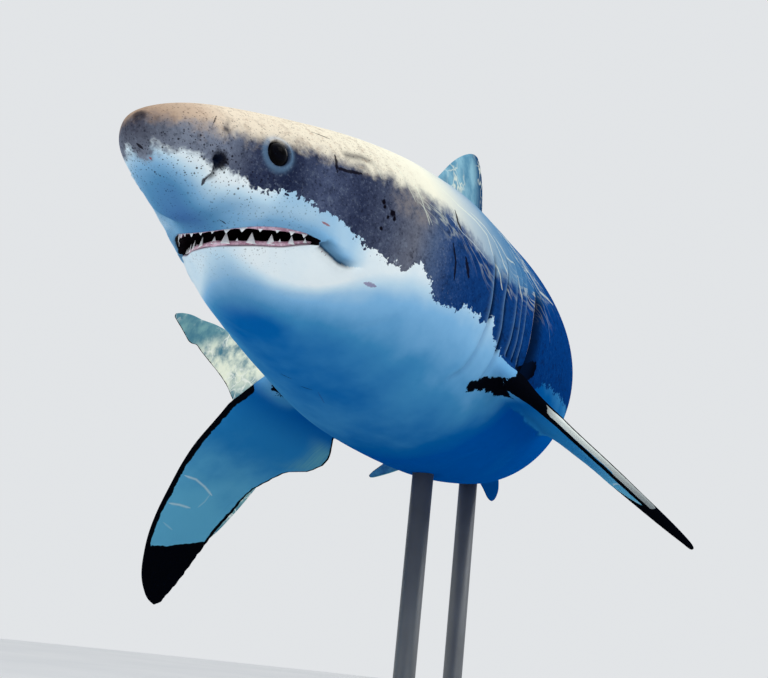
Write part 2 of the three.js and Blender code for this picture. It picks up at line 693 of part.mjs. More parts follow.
const body = trimmingBody();
const fins = {
  pectoral_fin_left: [pectoralSolid(1, PECTORAL_LEFT), blueSkin],
  pectoral_fin_right: [pectoralSolid(-1, PECTORAL_RIGHT), blueSkin],
  pelvic_fin_left: [pelvicSolid(1, PELVIC_LEFT), blueSkin],
  pelvic_fin_right: [pelvicSolid(-1, PELVIC_RIGHT), blueSkin],
  first_dorsal_fin: [medianFinSolid(FIRST_DORSAL, FIRST_DORSAL_ROOT, 1), slateSkin],
  second_dorsal_fin: [medianFinSolid(SECOND_DORSAL, SECOND_DORSAL_ROOT, 1), slateSkin],
  anal_fin: [medianFinSolid(SECOND_DORSAL, ANAL_FIN_ROOT, -1), slateSkin],
  caudal_fin_upper_lobe: [caudalSolid(CAUDAL_UPPER, 1), slateSkin],
  caudal_fin_lower_lobe: [caudalSolid(CAUDAL_LOWER, -1), slateSkin],
};
addPart(shark, 'head', headSolid(), slateSkin);
addPart(shark, 'lower_jaw', lowerJawSolid(), paleSkin);
addPart(shark, 'eye_left', eyeBall(1), eyeBlack);
addPart(shark, 'eye_right', eyeBall(-1), eyeBlack);
addPart(shark, 'gill_region', gillSolid(), slateSkin);
addPart(shark, 'chest', trunkSolid(GILLS_END, CHEST_END), slateSkin);
addPart(shark, 'trunk', trunkSolid(CHEST_END, TRUNK_END), slateSkin);
addPart(shark, 'tail_stock', trunkSolid(TRUNK_END, BODY_END), slateSkin);
for (const [name, [fin, material]] of Object.entries(fins)) {
  addPart(shark, name, fin.subtract(body), material);
}
addPart(model, 'stand_base', basePlate(), standSteel);
for (const [name, along] of Object.entries(RODS)) {
  addPart(model, name, rodSolid(along, body), standSteel);
}

export default model;
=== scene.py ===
"""A life-size great white shark on a plain display stand, turning to its right as it swims.

The shark is shaped in its own frame, in millimetres: "along" is the distance from the snout's tip
on the bent midline, "across" is to the shark's left, and "level" is up. A point given by these three
is called straightened. Angles run round the body from the shark's left, a quarter turn being its
back. One skin stands for all the flesh of the CAD frame; the eyeballs, teeth, gums and the stand are
pieces of their own.
"""

import logging
import math
from collections.abc import Callable, Sequence
from dataclasses import dataclass, field
from enum import Enum
from typing import ClassVar

import bmesh
import bpy
import numpy as np
from mathutils import Matrix, Vector

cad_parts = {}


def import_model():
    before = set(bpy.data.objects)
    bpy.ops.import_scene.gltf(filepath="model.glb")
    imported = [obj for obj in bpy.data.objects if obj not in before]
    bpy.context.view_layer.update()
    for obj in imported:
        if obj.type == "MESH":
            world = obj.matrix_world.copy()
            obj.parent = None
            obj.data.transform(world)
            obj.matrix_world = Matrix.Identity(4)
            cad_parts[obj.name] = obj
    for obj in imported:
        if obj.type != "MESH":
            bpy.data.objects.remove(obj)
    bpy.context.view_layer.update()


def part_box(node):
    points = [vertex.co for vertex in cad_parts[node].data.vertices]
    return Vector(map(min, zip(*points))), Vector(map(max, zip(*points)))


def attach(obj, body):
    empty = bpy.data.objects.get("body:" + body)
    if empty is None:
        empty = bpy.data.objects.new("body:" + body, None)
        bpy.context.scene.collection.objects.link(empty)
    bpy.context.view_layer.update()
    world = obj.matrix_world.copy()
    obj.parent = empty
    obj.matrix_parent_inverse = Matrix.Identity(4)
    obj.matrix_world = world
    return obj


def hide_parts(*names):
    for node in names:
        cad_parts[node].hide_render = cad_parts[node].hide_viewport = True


Array = np.ndarray
BMesh = bmesh.types.BMesh
Vert = bmesh.types.BMVert
Object = bpy.types.Object
Node = bpy.types.Node
Socket = bpy.types.NodeSocket
Tree = bpy.types.NodeTree
Point = tuple[float, float, float]
Colour = tuple[int, int, int]
Stops = tuple[tuple[float, Colour], ...]
Put = Callable[[Array, Array, Array], Array]

LOG = logging.getLogger("shark")
BODY = "root"
MM = 0.001
SNOUT_TIP = np.array([1550.0, 125.0, 1420.0])
TOTAL_LENGTH = 4200.0
BODY_END = 3720.0
WELD = 2e-6
OUTSIDE = 60.0

FLESH_NODES = (
    "head", "lower_jaw", "gill_region", "chest", "trunk", "tail_stock",
    "pectoral_fin_left", "pectoral_fin_right", "pelvic_fin_left", "pelvic_fin_right",
    "first_dorsal_fin", "second_dorsal_fin", "anal_fin", "caudal_fin_upper_lobe", "caudal_fin_lower_lobe",
)


class Side(Enum):
    """The shark's own left and right, as the sign of "across"."""

    LEFT = 1
    RIGHT = -1


class Zone(Enum):
    """What a face of the skin belongs to, as its material index while the skin is made."""

    BODY = 0
    MOUTH = 1
    PECTORAL_LEFT = 2
    PECTORAL_RIGHT = 3
    PELVIC_LEFT = 4
    PELVIC_RIGHT = 5
    FIRST_DORSAL = 6
    SECOND_DORSAL = 7
    ANAL = 8
    CAUDAL = 9


# ---------------------------------------------------------------- curves


class SmoothCurve:
    """A monotone cubic curve through values at knots, which never overshoots them."""

    def __init__(self, knots: Sequence[float], values: Sequence[float]) -> None:
        """Works out the tangent at each knot.

        Args:
            knots: Increasing places.
            values: The curve's value at each knot.
        """
        self.knots = np.asarray(knots, float)
        self.values = np.asarray(values, float)
        widths = np.diff(self.knots)
        slopes = np.diff(self.values) / widths
        before = 2 * widths[1:] + widths[:-1]
        after = widths[1:] + 2 * widths[:-1]
        with np.errstate(divide="ignore", invalid="ignore"):
            inner = (before + after) / (before / slopes[:-1] + after / slopes[1:])
        same_way = slopes[:-1] * slopes[1:] > 0
        self.tangents = np.concatenate([slopes[:1], np.where(same_way, inner, 0.0), slopes[-1:]])

    def __call__(self, x: Array) -> Array:
        """The curve's value at x, held level beyond the end knots."""
        x = np.clip(x, self.knots[0], self.knots[-1])
        i = np.clip(np.searchsorted(self.knots, x, side="right") - 1, 0, len(self.knots) - 2)
        width = self.knots[i + 1] - self.knots[i]
        t = (x - self.knots[i]) / width
        ends = self.values[i] * (1 + 2 * t) * (1 - t) ** 2 + self.values[i + 1] * t * t * (3 - 2 * t)
        lean = self.tangents[i] * t * (1 - t) ** 2 + self.tangents[i + 1] * t * t * (t - 1)
        return ends + width * lean


def smooth_step(x: Array, low: float, high: float) -> Array:
    """A soft rise from 0 at low to 1 at high; low may be the larger."""
    t = np.clip((x - low) / (high - low), 0.0, 1.0)
    return t * t * (3 - 2 * t)


def bell(x: Array, width: float) -> Array:
    """A soft bump of height 1 round 0, and of about the given half width."""
    return np.exp(-((x / width) ** 2))


def plateau(x: Array, start: float, full: float, fall: float, end: float) -> Array:
    """1 between full and fall, with a soft rise from start and a soft descent to end."""
    return smooth_step(x, start, full) * (1 - smooth_step(x, fall, end))


def unit(vectors: Array) -> Array:
    """A vector, or each row of vectors, at length 1."""
    return vectors / np.linalg.norm(vectors, axis=-1, keepdims=True)


def on_left(points: Array) -> Array:
    """Straightened points, with those of the shark's right moved over to its left."""
    return np.stack([points[:, 0], np.abs(points[:, 1]), points[:, 2]], 1)


def distance_to_line(points: Array, line: Sequence[Sequence[float]]) -> tuple[Array, Array]:
    """How far points are from a run of straight pieces.

    Args:
        points: An array of points, one to a row.
        line: The run's corners.

    Returns:
        The distances, and the share of the run's length at the nearest place.
    """
    corners = np.asarray(line, float)
    lengths = np.linalg.norm(np.diff(corners, axis=0), axis=1)
    best = np.full(len(points), 1e9)
    share = np.zeros(len(points))
    for i, length in enumerate(lengths):
        way = (corners[i + 1] - corners[i]) / length
        t = np.clip((points - corners[i]) @ way, 0.0, length)
        gap = np.linalg.norm(points - corners[i] - t[:, None] * way, axis=1)
        nearer = gap < best
        best = np.where(nearer, gap, best)
        share = np.where(nearer, (lengths[:i].sum() + t) / lengths.sum(), share)
    return best, share


# ---------------------------------------------------------------- the shark's form


class Midline:
    """The bent midline: a point and the ways forward, left and up for each distance along it."""

    TURN = SmoothCurve(
        np.array([0, 0.1, 0.22, 0.36, 0.5, 0.64, 0.78, 0.92, 1.02]) * TOTAL_LENGTH,
        np.radians([0, 0, 1.5, 2, 24, 62, 88, 86, 85]),
    )
    CLIMB = SmoothCurve(
        np.array([0, 0.12, 0.3, 0.5, 0.7, 0.9, 1.02]) * TOTAL_LENGTH,
        np.radians([0, 0, 1, 2.5, 0, -13.5, -13.5]),
    )
    ROLL = SmoothCurve(np.array([0, 0.35, 0.8, 1.02]) * TOTAL_LENGTH, np.radians([0, 0, -5.3, -5.3]))
    STEPS = 430

    def __init__(self) -> None:
        """Walks the midline from the snout's tip backwards."""
        self.step = 1.02 * TOTAL_LENGTH / self.STEPS
        along = np.arange(self.STEPS + 1) * self.step
        turn, climb, roll = self.TURN(along), self.CLIMB(along), self.ROLL(along)
        forward = unit(np.stack([np.cos(turn), np.sin(turn), -np.tan(climb)], 1))
        point = np.zeros_like(forward)
        point[1:] = np.cumsum(-(forward[1:] + forward[:-1]) * self.step / 2, axis=0)
        left = unit(np.cross([0.0, 0.0, 1.0], forward))
        up = np.cross(forward, left)
        left, up = (
            left * np.cos(roll)[:, None] + up * np.sin(roll)[:, None],
            up * np.cos(roll)[:, None] - left * np.sin(roll)[:, None],
        )
        self.frames = np.stack([point, forward, left, up], 1)

    def at(self, along: Array) -> Array:
        """The frames at distances along: rows of point, forward, left and up."""
        place = np.clip(np.asarray(along, float) / self.step, 0, self.STEPS - 0.001)
        low = np.floor(place).astype(int)
        blend = (place - low)[..., None, None]
        return self.frames[low] * (1 - blend) + self.frames[low + 1] * blend

    def place(self, along: Array, across: Array, level: Array) -> Array:
        """The points, in the shark's frame, at distances along, across and up."""
        frame = self.at(along)
        sideways = frame[..., 2, :] * np.asarray(across)[..., None]
        return frame[..., 0, :] + sideways + frame[..., 3, :] * np.asarray(level)[..., None]

    def metres(self, points: Array) -> Array:
        """Straightened points as places in the CAD frame, in metres."""
        return (self.place(*points.T) + SNOUT_TIP) * MM

    def straighten(self, points: Array, batch: int = 20000, skip: int = 5) -> Array:
        """Finds distances along, across and up for points near the body.

        Args:
            points: Points in the shark's frame, one to a row.
            batch: How many points are compared with the midline at once.
            skip: Every how many steps of the midline they are compared.

        Returns:
            One row of along, across and level for each point.
        """
        every = self.frames[::skip]
        along = np.empty(len(points))
        for start in range(0, len(points), batch):
            part = points[start : start + batch]
            gaps = ((part[:, None, :] - every[None, :, 0, :]) ** 2).sum(2)
            along[start : start + batch] = gaps.argmin(1) * skip * self.step
        for _ in range(6):
            frame = self.at(along)
            along = along - 0.8 * ((points - frame[:, 0]) * frame[:, 1]).sum(1)
        frame = self.at(along)
        offset = points - frame[:, 0]
        return np.stack([along, (offset * frame[:, 2]).sum(1), (offset * frame[:, 3]).sum(1)], 1)


@dataclass(frozen=True)
class Crease:
    """A groove in the skin along a run of straightened points.

    Attributes:
        line: Corners of the run, each along, across and level, on the shark's left.
        depth: How deep the groove is at its middle, in millimetres.
        width: Its half width.
        lip: How far the skin swells beside it.
        shade: How dark the painted shade at its bottom is, from 0 to 1.
    """

    line: tuple[tuple[float, float, float], ...]
    depth: float
    width: float
    lip: float = 0.0
    shade: float = 0.0

    def swell(self, points: Array) -> Array:
        """How far it moves straightened points out of the skin."""
        gap, share = distance_to_line(on_left(points), self.line)
        fade = plateau(share, 0.0, 0.08, 0.55, 1.0) * 0.9 + 0.1
        fade = fade * (1 - smooth_step(gap, 3 * self.width, 5 * self.width))
        lip = self.lip * bell(gap - 2.4 * self.width, 1.3 * self.width)
        return (lip - self.depth * bell(gap, self.width)) * fade

    def dark(self, points: Array) -> Array:
        """How much painted shade it lays along its bottom at straightened points, which its own relief has
        moved across.
        """
        squeeze = np.array([1.0, 0.2, 1.0])
        folded = np.abs(points) * [1, 1, -1]
        gap, share = distance_to_line(folded * squeeze, np.array(self.line) * squeeze)
        fade = plateau(share, 0.0, 0.05, 0.6, 0.95) * (folded[:, 1] > 40)
        return self.shade * bell(gap, 1.3 * self.width) * fade


@dataclass(frozen=True)
class GillSlit:
    """One gill slit: a flap of skin over a cleft, which runs down the side; painted shade darkens the cleft and
    a painted highlight lies on the flap's top.

    Attributes:
        levels: Levels from the slit's lower end to its upper end.
        alongs: Its distance along at each of those levels.
        scale: Its width against the first slit's.
        scale: Its width against the first slit's.
        flap: How far the flap stands out.
        cleft: How deep the cleft is.
    """

    levels: tuple[float, ...]
    alongs: tuple[float, ...]
    scale: float
    flap: float = 8.0
    cleft: float = 17.0

    def behind(self, points: Array) -> Array:
        """How far behind the slit straightened points are."""
        return points[:, 0] - SmoothCurve(self.levels, self.alongs)(points[:, 2])

    def window(self, points: Array) -> Array:
        """1 beside the slit's middle, and 0 above and below its ends."""
        low, high = self.levels[0], self.levels[-1]
        return plateau(points[:, 2], low - 14, low + 22, high - 50, high + 10)

    def swell(self, points: Array) -> Array:
        """How far it moves straightened points out of the skin."""
        q = self.behind(points) / self.scale
        swell = self.flap * bell(q + 14, 13) - self.cleft * bell(q - 6, 8.5)
        deep = self.scale**0.5 * (0.4 + 0.6 * smooth_step(points[:, 2], -170, -90))
        return swell * self.window(points) * deep

    def dark(self, points: Array) -> Array:
        """How much painted shade it lays in its cleft at straightened points, from 0 to 1."""
        return plateau(self.behind(points) / self.scale, -5, 3, 12, 26) * self.window(points)

    def crest(self, points: Array) -> Array:
        """How strong the painted highlight on the flap's top is at straightened points, from 0 to 1."""
        return bell(self.behind(points) / self.scale + 12, 7) * self.window(points)


@dataclass(frozen=True)
class BodyForm:
    """The body's outer surface, with the mouth's recess, the eye sockets, nostrils, gills and keels."""

    UNROLLED_RADIUS: ClassVar[float] = 330.0

    alongs: tuple[float, ...] = (
        0, 25, 84, 210, 378, 588, 840, 1134, 1512, 1932, 2352, 2772, 3150, 3360, 3490, 3620, 3720,
    )
    above: tuple[float, ...] = (0, 39, 79, 137, 196, 262, 320, 374, 398, 352, 300, 218, 131, 94, 84, 64, 30)
    below: tuple[float, ...] = (0, 37, 71, 136, 212, 276, 337, 397, 421, 383, 294, 203, 115, 84, 76, 54, 22)
    half: tuple[float, ...] = (0, 52, 101, 140, 211, 280, 338, 362, 358, 338, 266, 186, 114, 88, 66, 34, 14)
    widest_alongs: tuple[float, ...] = (0, 210, 630, 1260, 1932, 3486)
    widest_shares: tuple[float, ...] = (0.5, 0.62, 0.62, 0.478, 0.512, 0.5)
    power_alongs: tuple[float, ...] = (0, 1134, 1512, 4300)
    powers: tuple[float, ...] = (2.1, 2.1, 1.97, 1.97)
    upper_lip: tuple[tuple[float, float], ...] = (
        (228, -157), (248, -136), (272, -122), (304, -108), (344, -100), (381, -98), (428, -104),
    )
    lower_lip: tuple[tuple[float, float], ...] = (
        (245, -168), (282, -145), (304, -143), (336, -135), (371, -127), (396, -116), (415, -108), (428, -104),
    )
    mouth_run: tuple[float, float] = (225, 445)
    gill_run: tuple[float, float] = (880, 1420)
    eye_along: float = 268.0
    eye_level: float = 33.0
    eye_radius: float = 29.0
    eye_proud: float = 13.0
    eye_look: Point = (-0.38, 1.0, 0.2)
    creases: tuple[Crease, ...] = (
        Crease(
            ((134, 104, -37), (141, 101, -48), (147, 95, -59), (146, 86, -68), (143, 75, -77)),
            6.5, 3.2, 1.8, 0.75,
        ),
        Crease(((128, 105, -31), (140, 108, -32), (150, 109, -35)), 13.0, 5.5, 2.2, 1.0),
        Crease(
            ((424, 192, -102), (447, 199, -111), (485, 207, -123), (507, 214, -124), (540, 226, -117)),
            9, 6.5, 4, 1,
        ),
        Crease(((600, 140, -238), (640, 174, -228), (719, 250, -175), (742, 275, -140)), 1.6, 9.0, 0.8),
        Crease(((470, 150, -205), (500, 120, -228), (540, 60, -252), (560, 0, -262)), 1.2, 9.0, 0.6),
    )
    gills: tuple[GillSlit, ...] = (
        GillSlit((-250, -212, -149, -71, 21, 90), (985, 1006, 1010, 1009, 1006, 1012), 1.0),
        GillSlit((-226, -173, -95, -33, 41, 120), (1094, 1100, 1090, 1080, 1097, 1120), 0.95),
        GillSlit((-205, -175, -129, -60, 9, 119, 150), (1182, 1171, 1161, 1164, 1174, 1205, 1218), 0.85),
        GillSlit((-212, -188, -117, -47, 26, 120, 160), (1236, 1226, 1206, 1208, 1226, 1262, 1278), 0.62),
        GillSlit((-190, -172, -107, -45, 43, 139, 165), (1277, 1268, 1242, 1248, 1272, 1318, 1330), 0.62),
    )
    hollow_line: tuple[tuple[float, ...], tuple[float, ...]] = (
        (-208, -150, -62, 0, 78, 120),
        (1312, 1320, 1335, 1352, 1392, 1420),
    )

    def curve(self, values: Sequence[float]) -> SmoothCurve:
        """A section size against the square root of the distance along, which rounds the snout."""
        return SmoothCurve(np.sqrt(self.alongs), values)

    def power(self, along: Array) -> Array:
        """The power of the section's rounded outline at distances along."""
        return SmoothCurve(self.power_alongs, self.powers)(along)

    def section(self, along: Array) -> tuple[Array, Array, Array, Array]:
        """Height above, depth below, half width and widest level at distances along."""
        root = np.sqrt(along)
        above, below, half = (self.curve(v)(root) for v in (self.above, self.below, self.half))
        widest = (above + below) * SmoothCurve(self.widest_alongs, self.widest_shares)(along) - below
        return above, below, half, widest

    def upper_level(self, along: Array) -> Array:
        """The upper lip's level."""
        return SmoothCurve(*zip(*self.upper_lip))(along)

    def lower_level(self, along: Array) -> Array:
        """The lower lip's level."""
        return SmoothCurve(*zip(*self.lower_lip))(along)

    def outside_mouth(self, along: Array, level: Array) -> Array:
        """How far a point of the surface is outside the mouth's opening; negative inside it."""
        gap = np.maximum(level - self.upper_level(along), self.lower_level(along) - level)
        return gap + 40 * smooth_step(along, 426, 440) + 40 * smooth_step(along, 232, 222)

    def width_at(self, along: float, level: float) -> float:
        """Half the body's width at a distance along and a level, without relief."""
        above, below, half, widest = self.section(np.array([along]))
        reach = above - widest if level >= widest[0] else widest + below
        share = abs(level - widest[0]) / reach[0]
        power = float(self.power(along))
        return float(half[0] * (1 - share**power) ** (1 / power))

    def eye_centre(self) -> Array:
        """The left eye's middle, straightened."""
        across = self.width_at(self.eye_along, self.eye_level) + self.eye_proud - self.eye_radius
        return np.array([self.eye_along, across, self.eye_level])

    def off_eye(self, points: Array) -> Array:
        """How far straightened points are from the line through the middle of the near eye."""
        axis = unit(np.array(self.eye_look))
        offset = on_left(points) - self.eye_centre()
        out = offset @ axis
        gap = np.linalg.norm(offset - out[:, None] * axis, axis=1)
        return np.where(out > -self.eye_radius, gap, 1e3)

    def plain(self, along: Array, angle: Array) -> tuple[Array, Array]:
        """The plain surface, without relief.

        Args:
            along: Distances along.
            angle: Angles round the body.

        Returns:
            Rows of along, across and level, and rows of the way out of the skin, across and up.
        """
        above, below, half, widest = self.section(along)
        cos, sin = np.cos(angle), np.sin(angle)
        reach = np.where(sin >= 0, above - widest, widest + below)
        power = 2 / self.power(along)
        across = half * np.sign(cos) * np.abs(cos) ** power
        level = widest + reach * np.sign(sin) * np.abs(sin) ** power
        outward = np.stack([cos * reach, sin * half], 1)
        outward /= np.maximum(np.linalg.norm(outward, axis=1), 1e-9)[:, None]
        return np.stack([along, across, level], 1), outward

    def mouth_recess(self, along: Array, level: Array) -> Array:
        """How far the skin sits in round the mouth's front, and again below the lower lip."""
        hollow = plateau(along, 175, 250, 290, 470) * smooth_step(-level, 70, 125)
        drop = self.lower_level(along) - level
        at_jaw = plateau(drop, -8, 6, 20, 150)
        at_jaw *= smooth_step(along, 250, 285) * (1 - smooth_step(along, 400, 560))
        return 26 * hollow + 9 * at_jaw

    def keel(self, along: Array, angle: Array) -> Array:
        """How far the side keels of the tail stock stand out."""
        off_side = np.arcsin(np.abs(np.sin(angle)))
        return 34 * plateau(along, 2980, 3330, 3330, 3640) * bell(off_side, 0.34)

    def lips(self, points: Array) -> Array:
        """The swelling of the two lips and of the cheek over the mouth's corner."""
        gap = self.outside_mouth(points[:, 0], points[:, 2])
        near = plateau(points[:, 0], 225, 250, 415, 470) * (points[:, 2] < -40)
        upper = 2.2 * bell(gap - 9, 6) - 1.6 * bell(gap - 24, 9)
        lower = 2.8 * bell(gap - 7, 6) - 1.6 * bell(gap - 22, 9)
        return np.where(points[:, 2] > self.upper_level(points[:, 0]) - 1, upper, lower) * near

    def socket(self, points: Array) -> Array:
        """The eye sockets, with their raised lids."""
        gap = self.off_eye(points)
        lids = 2.8 * bell(gap - 30.5, 3.6) - 1.4 * bell(gap - 40, 7)
        return lids - 15 * (1 - smooth_step(gap, 21.0, 28.0))

    def at_mouth(self, points: Array, margin: float = 0.0) -> Array:
        """Whether straightened points are on the stretch of skin round the mouth."""
        start, end = self.mouth_run
        along, _, level = points.T
        return (along > start - margin) & (along < end + margin) & (level < -70 + margin)

    def at_gills(self, along: Array) -> Array:
        """Whether distances along are on the stretch of skin that has the gills."""
        return (along > self.gill_run[0]) & (along < self.gill_run[1])

    def relief(self, along: Array, angle: Array, plain: Array) -> Array:
        """How far all relief moves the plain surface out.

        Args:
            along: Distances along.
            angle: Angles round the body.
            plain: The plain surface's straightened points.

        Returns:
            The way out at each point, less than 0 where the skin sits in.
        """
        out = self.keel(along, angle) - self.mouth_recess(along, plain[:, 2])
        out = out + self.lips(plain) + self.socket(plain)
        for crease in self.creases:
            out += crease.swell(plain)
        for gill in self.gills:
            out += np.where(self.at_gills(along), gill.swell(plain), 0.0)
        rear, fade = self.rear_hollow(plain)
        return out + fade * (8 * bell(rear + 40, 15) - 13 * bell(rear, 26))

    def rear_hollow(self, points: Array) -> tuple[Array, Array]:
        """How far points are behind the hollow that follows the gills, and how strong it is there."""
        behind = points[:, 0] - SmoothCurve(*self.hollow_line)(points[:, 2])
        return behind, plateau(points[:, 2], -250, -190, 85, 150)

    def hollow_shade(self, points: Array) -> Array:
        """How dark the painted shade in the hollow behind the gills is: dark at its front, and easing off
        behind.
        """
        behind, fade = self.rear_hollow(points)
        return fade * plateau(behind, -42, -16, 10, 105)

    def unroll(self, points: Array) -> Array:
        """Where straightened points are on the unrolled skin: along the body and round it."""
        above, below, half, widest = self.section(np.clip(points[:, 0], 1, BODY_END - 1))
        rise = points[:, 2] - widest
        reach = np.where(rise >= 0, above - widest, widest + below)
        round_it = np.arctan2(rise / reach, points[:, 1] / half) * self.UNROLLED_RADIUS
        return np.stack([points[:, 0], round_it, np.zeros(len(points))], 1)

    def snapped(self, point: Sequence[float]) -> Array:
        """The point of the surface that is nearest to a point, at the same distance along."""
        angle = np.linspace(-math.pi, math.pi, 1440)
        near = self.surface(np.full(angle.size, float(point[0])), angle)
        return near[np.linalg.norm(near - point, axis=1).argmin()]

    def surface(self, along: Array, angle: Array) -> Array:
        """The finished surface: rows of along, across and level."""
        plain, outward = self.plain(along, angle)
        points = plain.copy()
        points[:, 1:] += outward * self.relief(along, angle, plain)[:, None]
        return points


# ---------------------------------------------------------------- fins


@dataclass(frozen=True)
class FinShape:
    """A fin's outline and thickness in its own plane.

    Attributes:
        spans: Distances out from the root.
        leads: How far back the leading edge is at each span.
        trails: How far back the trailing edge is.
        thicks: The greatest thickness.
        rounding: How much of the tip is rounded off.
        ragged: How uneven the trailing edge is.
        flare: How much thicker the fin grows into its root.
    """
    spans: tuple[float, ...]
    leads: tuple[float, ...]
    trails: tuple[float, ...]
    thicks: tuple[float, ...]
    rounding: float
    ragged: float = 0.0
    flare: float = 0.5
    two_tips: bool = False

    def chord(self, span: Array) -> tuple[Array, Array, Array]:
        """Leading edge, trailing edge and thickness at spans, with rounded tips."""
        lead, trail, thick = (SmoothCurve(self.spans, v)(span) for v in (self.leads, self.trails, self.thicks))
        tip = np.clip((span - self.spans[-1] + self.rounding) / self.rounding, 0, 1)
        if self.two_tips:
            tip = np.maximum(tip, np.clip((self.spans[0] + self.rounding - span) / self.rounding, 0, 1))
        shrink = np.sqrt(np.maximum(1 - tip * tip, 0))
        wave = np.sin(span * 0.21) + 0.6 * np.sin(span * 0.47 + 1.0) + 0.5 * np.sin(span * 0.93 + 2.0)
        trail = trail + self.ragged * (wave - 1) * smooth_step(span, 60, 160)
        middle, reach = (lead + trail) / 2, (trail - lead) / 2 * shrink
        if not self.two_tips:
            thick = thick * (1 + self.flare * bell(np.maximum(span, 0), 45))
        return middle - reach, middle + reach, thick * (0.25 + 0.75 * shrink)


PECTORAL_SHAPE = FinShape(
    (-91, 0, 65, 118, 150, 192, 238, 270, 330, 403, 485, 569, 641, 700, 763, 801, 822, 831),
    (-40, -72, -63, -54, -50, -34, -18, -8, 11, 42, 84, 128, 174, 223, 288, 347, 392, 424),
    (318, 340, 384, 446, 482, 500, 484, 424, 396, 379, 400, 415, 432, 446, 456, 456, 454, 448),
    (46, 44, 41, 38, 36, 34, 32, 30, 28, 26, 23, 20, 17, 14, 10, 8, 7, 5),
    rounding=12,
    ragged=1.6,
)
FIRST_DORSAL_SHAPE = FinShape(
    (-80, 0, 17, 43, 86, 118, 160, 212, 244, 279, 305, 330, 345),
    (0, -20, -12, 2, 24, 50, 95, 153, 194, 243, 283, 327, 362),
    (460, 520, 570, 540, 512, 500, 492, 484, 476, 464, 446, 421, 402),
    (52, 44, 41, 38, 34, 31, 28, 22, 18, 15, 12, 8, 5),
    rounding=10,
    ragged=0.8,
)
SECOND_DORSAL_SHAPE = FinShape(
    (-30, 0, 10, 30, 52, 62),
    (10, 0, 10, 34, 60, 74),
    (70, 84, 122, 92, 90, 88),
    (14, 12, 10, 8, 6, 4),
    rounding=5,
    flare=0.3,
)
PELVIC_SHAPE = FinShape(
    (-63, 0, 28, 53, 85, 111, 140, 160),
    (-30, -20, 12, 48, 96, 134, 180, 214),
    (150, 172, 204, 200, 210, 222, 234, 236),
    (24, 22, 19, 17, 14, 12, 9, 6),
    rounding=8,
)
CAUDAL_SHAPE = FinShape(
    (-474, -440, -376, -290, -190, -97, -44, 0, 66, 130, 206, 274, 372, 444, 532, 568, 584, 604, 640)
    + (701, 755, 785, 797),
    (574, 506, 412, 300, 182, 84, 32, 46, 30, 84, 128, 192, 280, 330, 410, 450, 470, 494, 540)
    + (634, 708, 768, 806),
    (616, 594, 532, 462, 402, 370, 362, 364, 370, 390, 432, 462, 524, 578, 643, 668, 698, 719, 740)
    + (775, 808, 822, 820),
    (6, 11, 18, 25, 31, 37, 41, 44, 42, 38, 33, 30, 26, 23, 20, 18, 17, 16, 14, 11, 8, 6, 4),
    rounding=10,
    two_tips=True,
)


@dataclass
class Fin:
    """One fin on the body.

    Attributes:
        zone: Which fin it is.
        shape: Its outline and thickness.
        put: Turns spans, chords and thicknesses into points in the shark's frame.
        columns: Faces round its section.
        rows: Faces from its root to its tip.
        places: Its points in metres, once it is built.
        facts: The span, chord, half thickness, lead and trail at each of them.
    """

    zone: Zone
    shape: FinShape
    put: Put
    columns: int = 32
    rows: int = 60
    places: Array = field(default_factory=lambda: np.empty((0, 3)))
    facts: Array = field(default_factory=lambda: np.empty((0, 5)))

    def build(self, bm: BMesh) -> None:
        """Adds the closed fin to a mesh, in metres, and keeps each point's place on the fin."""
        verts, shares = new_sheet(bm, self.columns, self.rows)
        spans = self.shape.spans
        rows = np.clip(shares[:, 1] * (self.rows + 2) / self.rows - 1 / self.rows, 0, 1)
        ease = (1 - np.cos(rows * math.pi)) / 2 if self.shape.two_tips else np.sin(rows * math.pi / 2) ** 1.15
        span = spans[0] + (spans[-1] - spans[0]) * ease
        lead, trail, thick = self.shape.chord(span)
        turn = shares[:, 0] * 2 * math.pi
        back = (1 + np.cos(turn)) / 2
        outline = 2.6 * np.sqrt(back) * (1 - back)
        edge = 1.3 * smooth_step(back, 0.0, 0.05) * smooth_step(1 - back, 0.0, 0.004)
        half = (thick * outline / 2 + edge) * np.where(turn < math.pi, 1.0, -1.0)
        ends = (shares[:, 1] < 0.5 / self.rows) | (shares[:, 1] > 1 - 0.5 / self.rows)
        chord = np.where(ends, (lead + trail) / 2, lead + (trail - lead) * back)
        half = np.where(ends, 0.0, half)
        places = (self.put(span, chord, half) + SNOUT_TIP) * MM
        place_sheet(bm, verts, places, self.zone.value)
        self.places = places[~ends]
        self.facts = np.stack([span, chord, half, lead, trail], 1)[~ends]


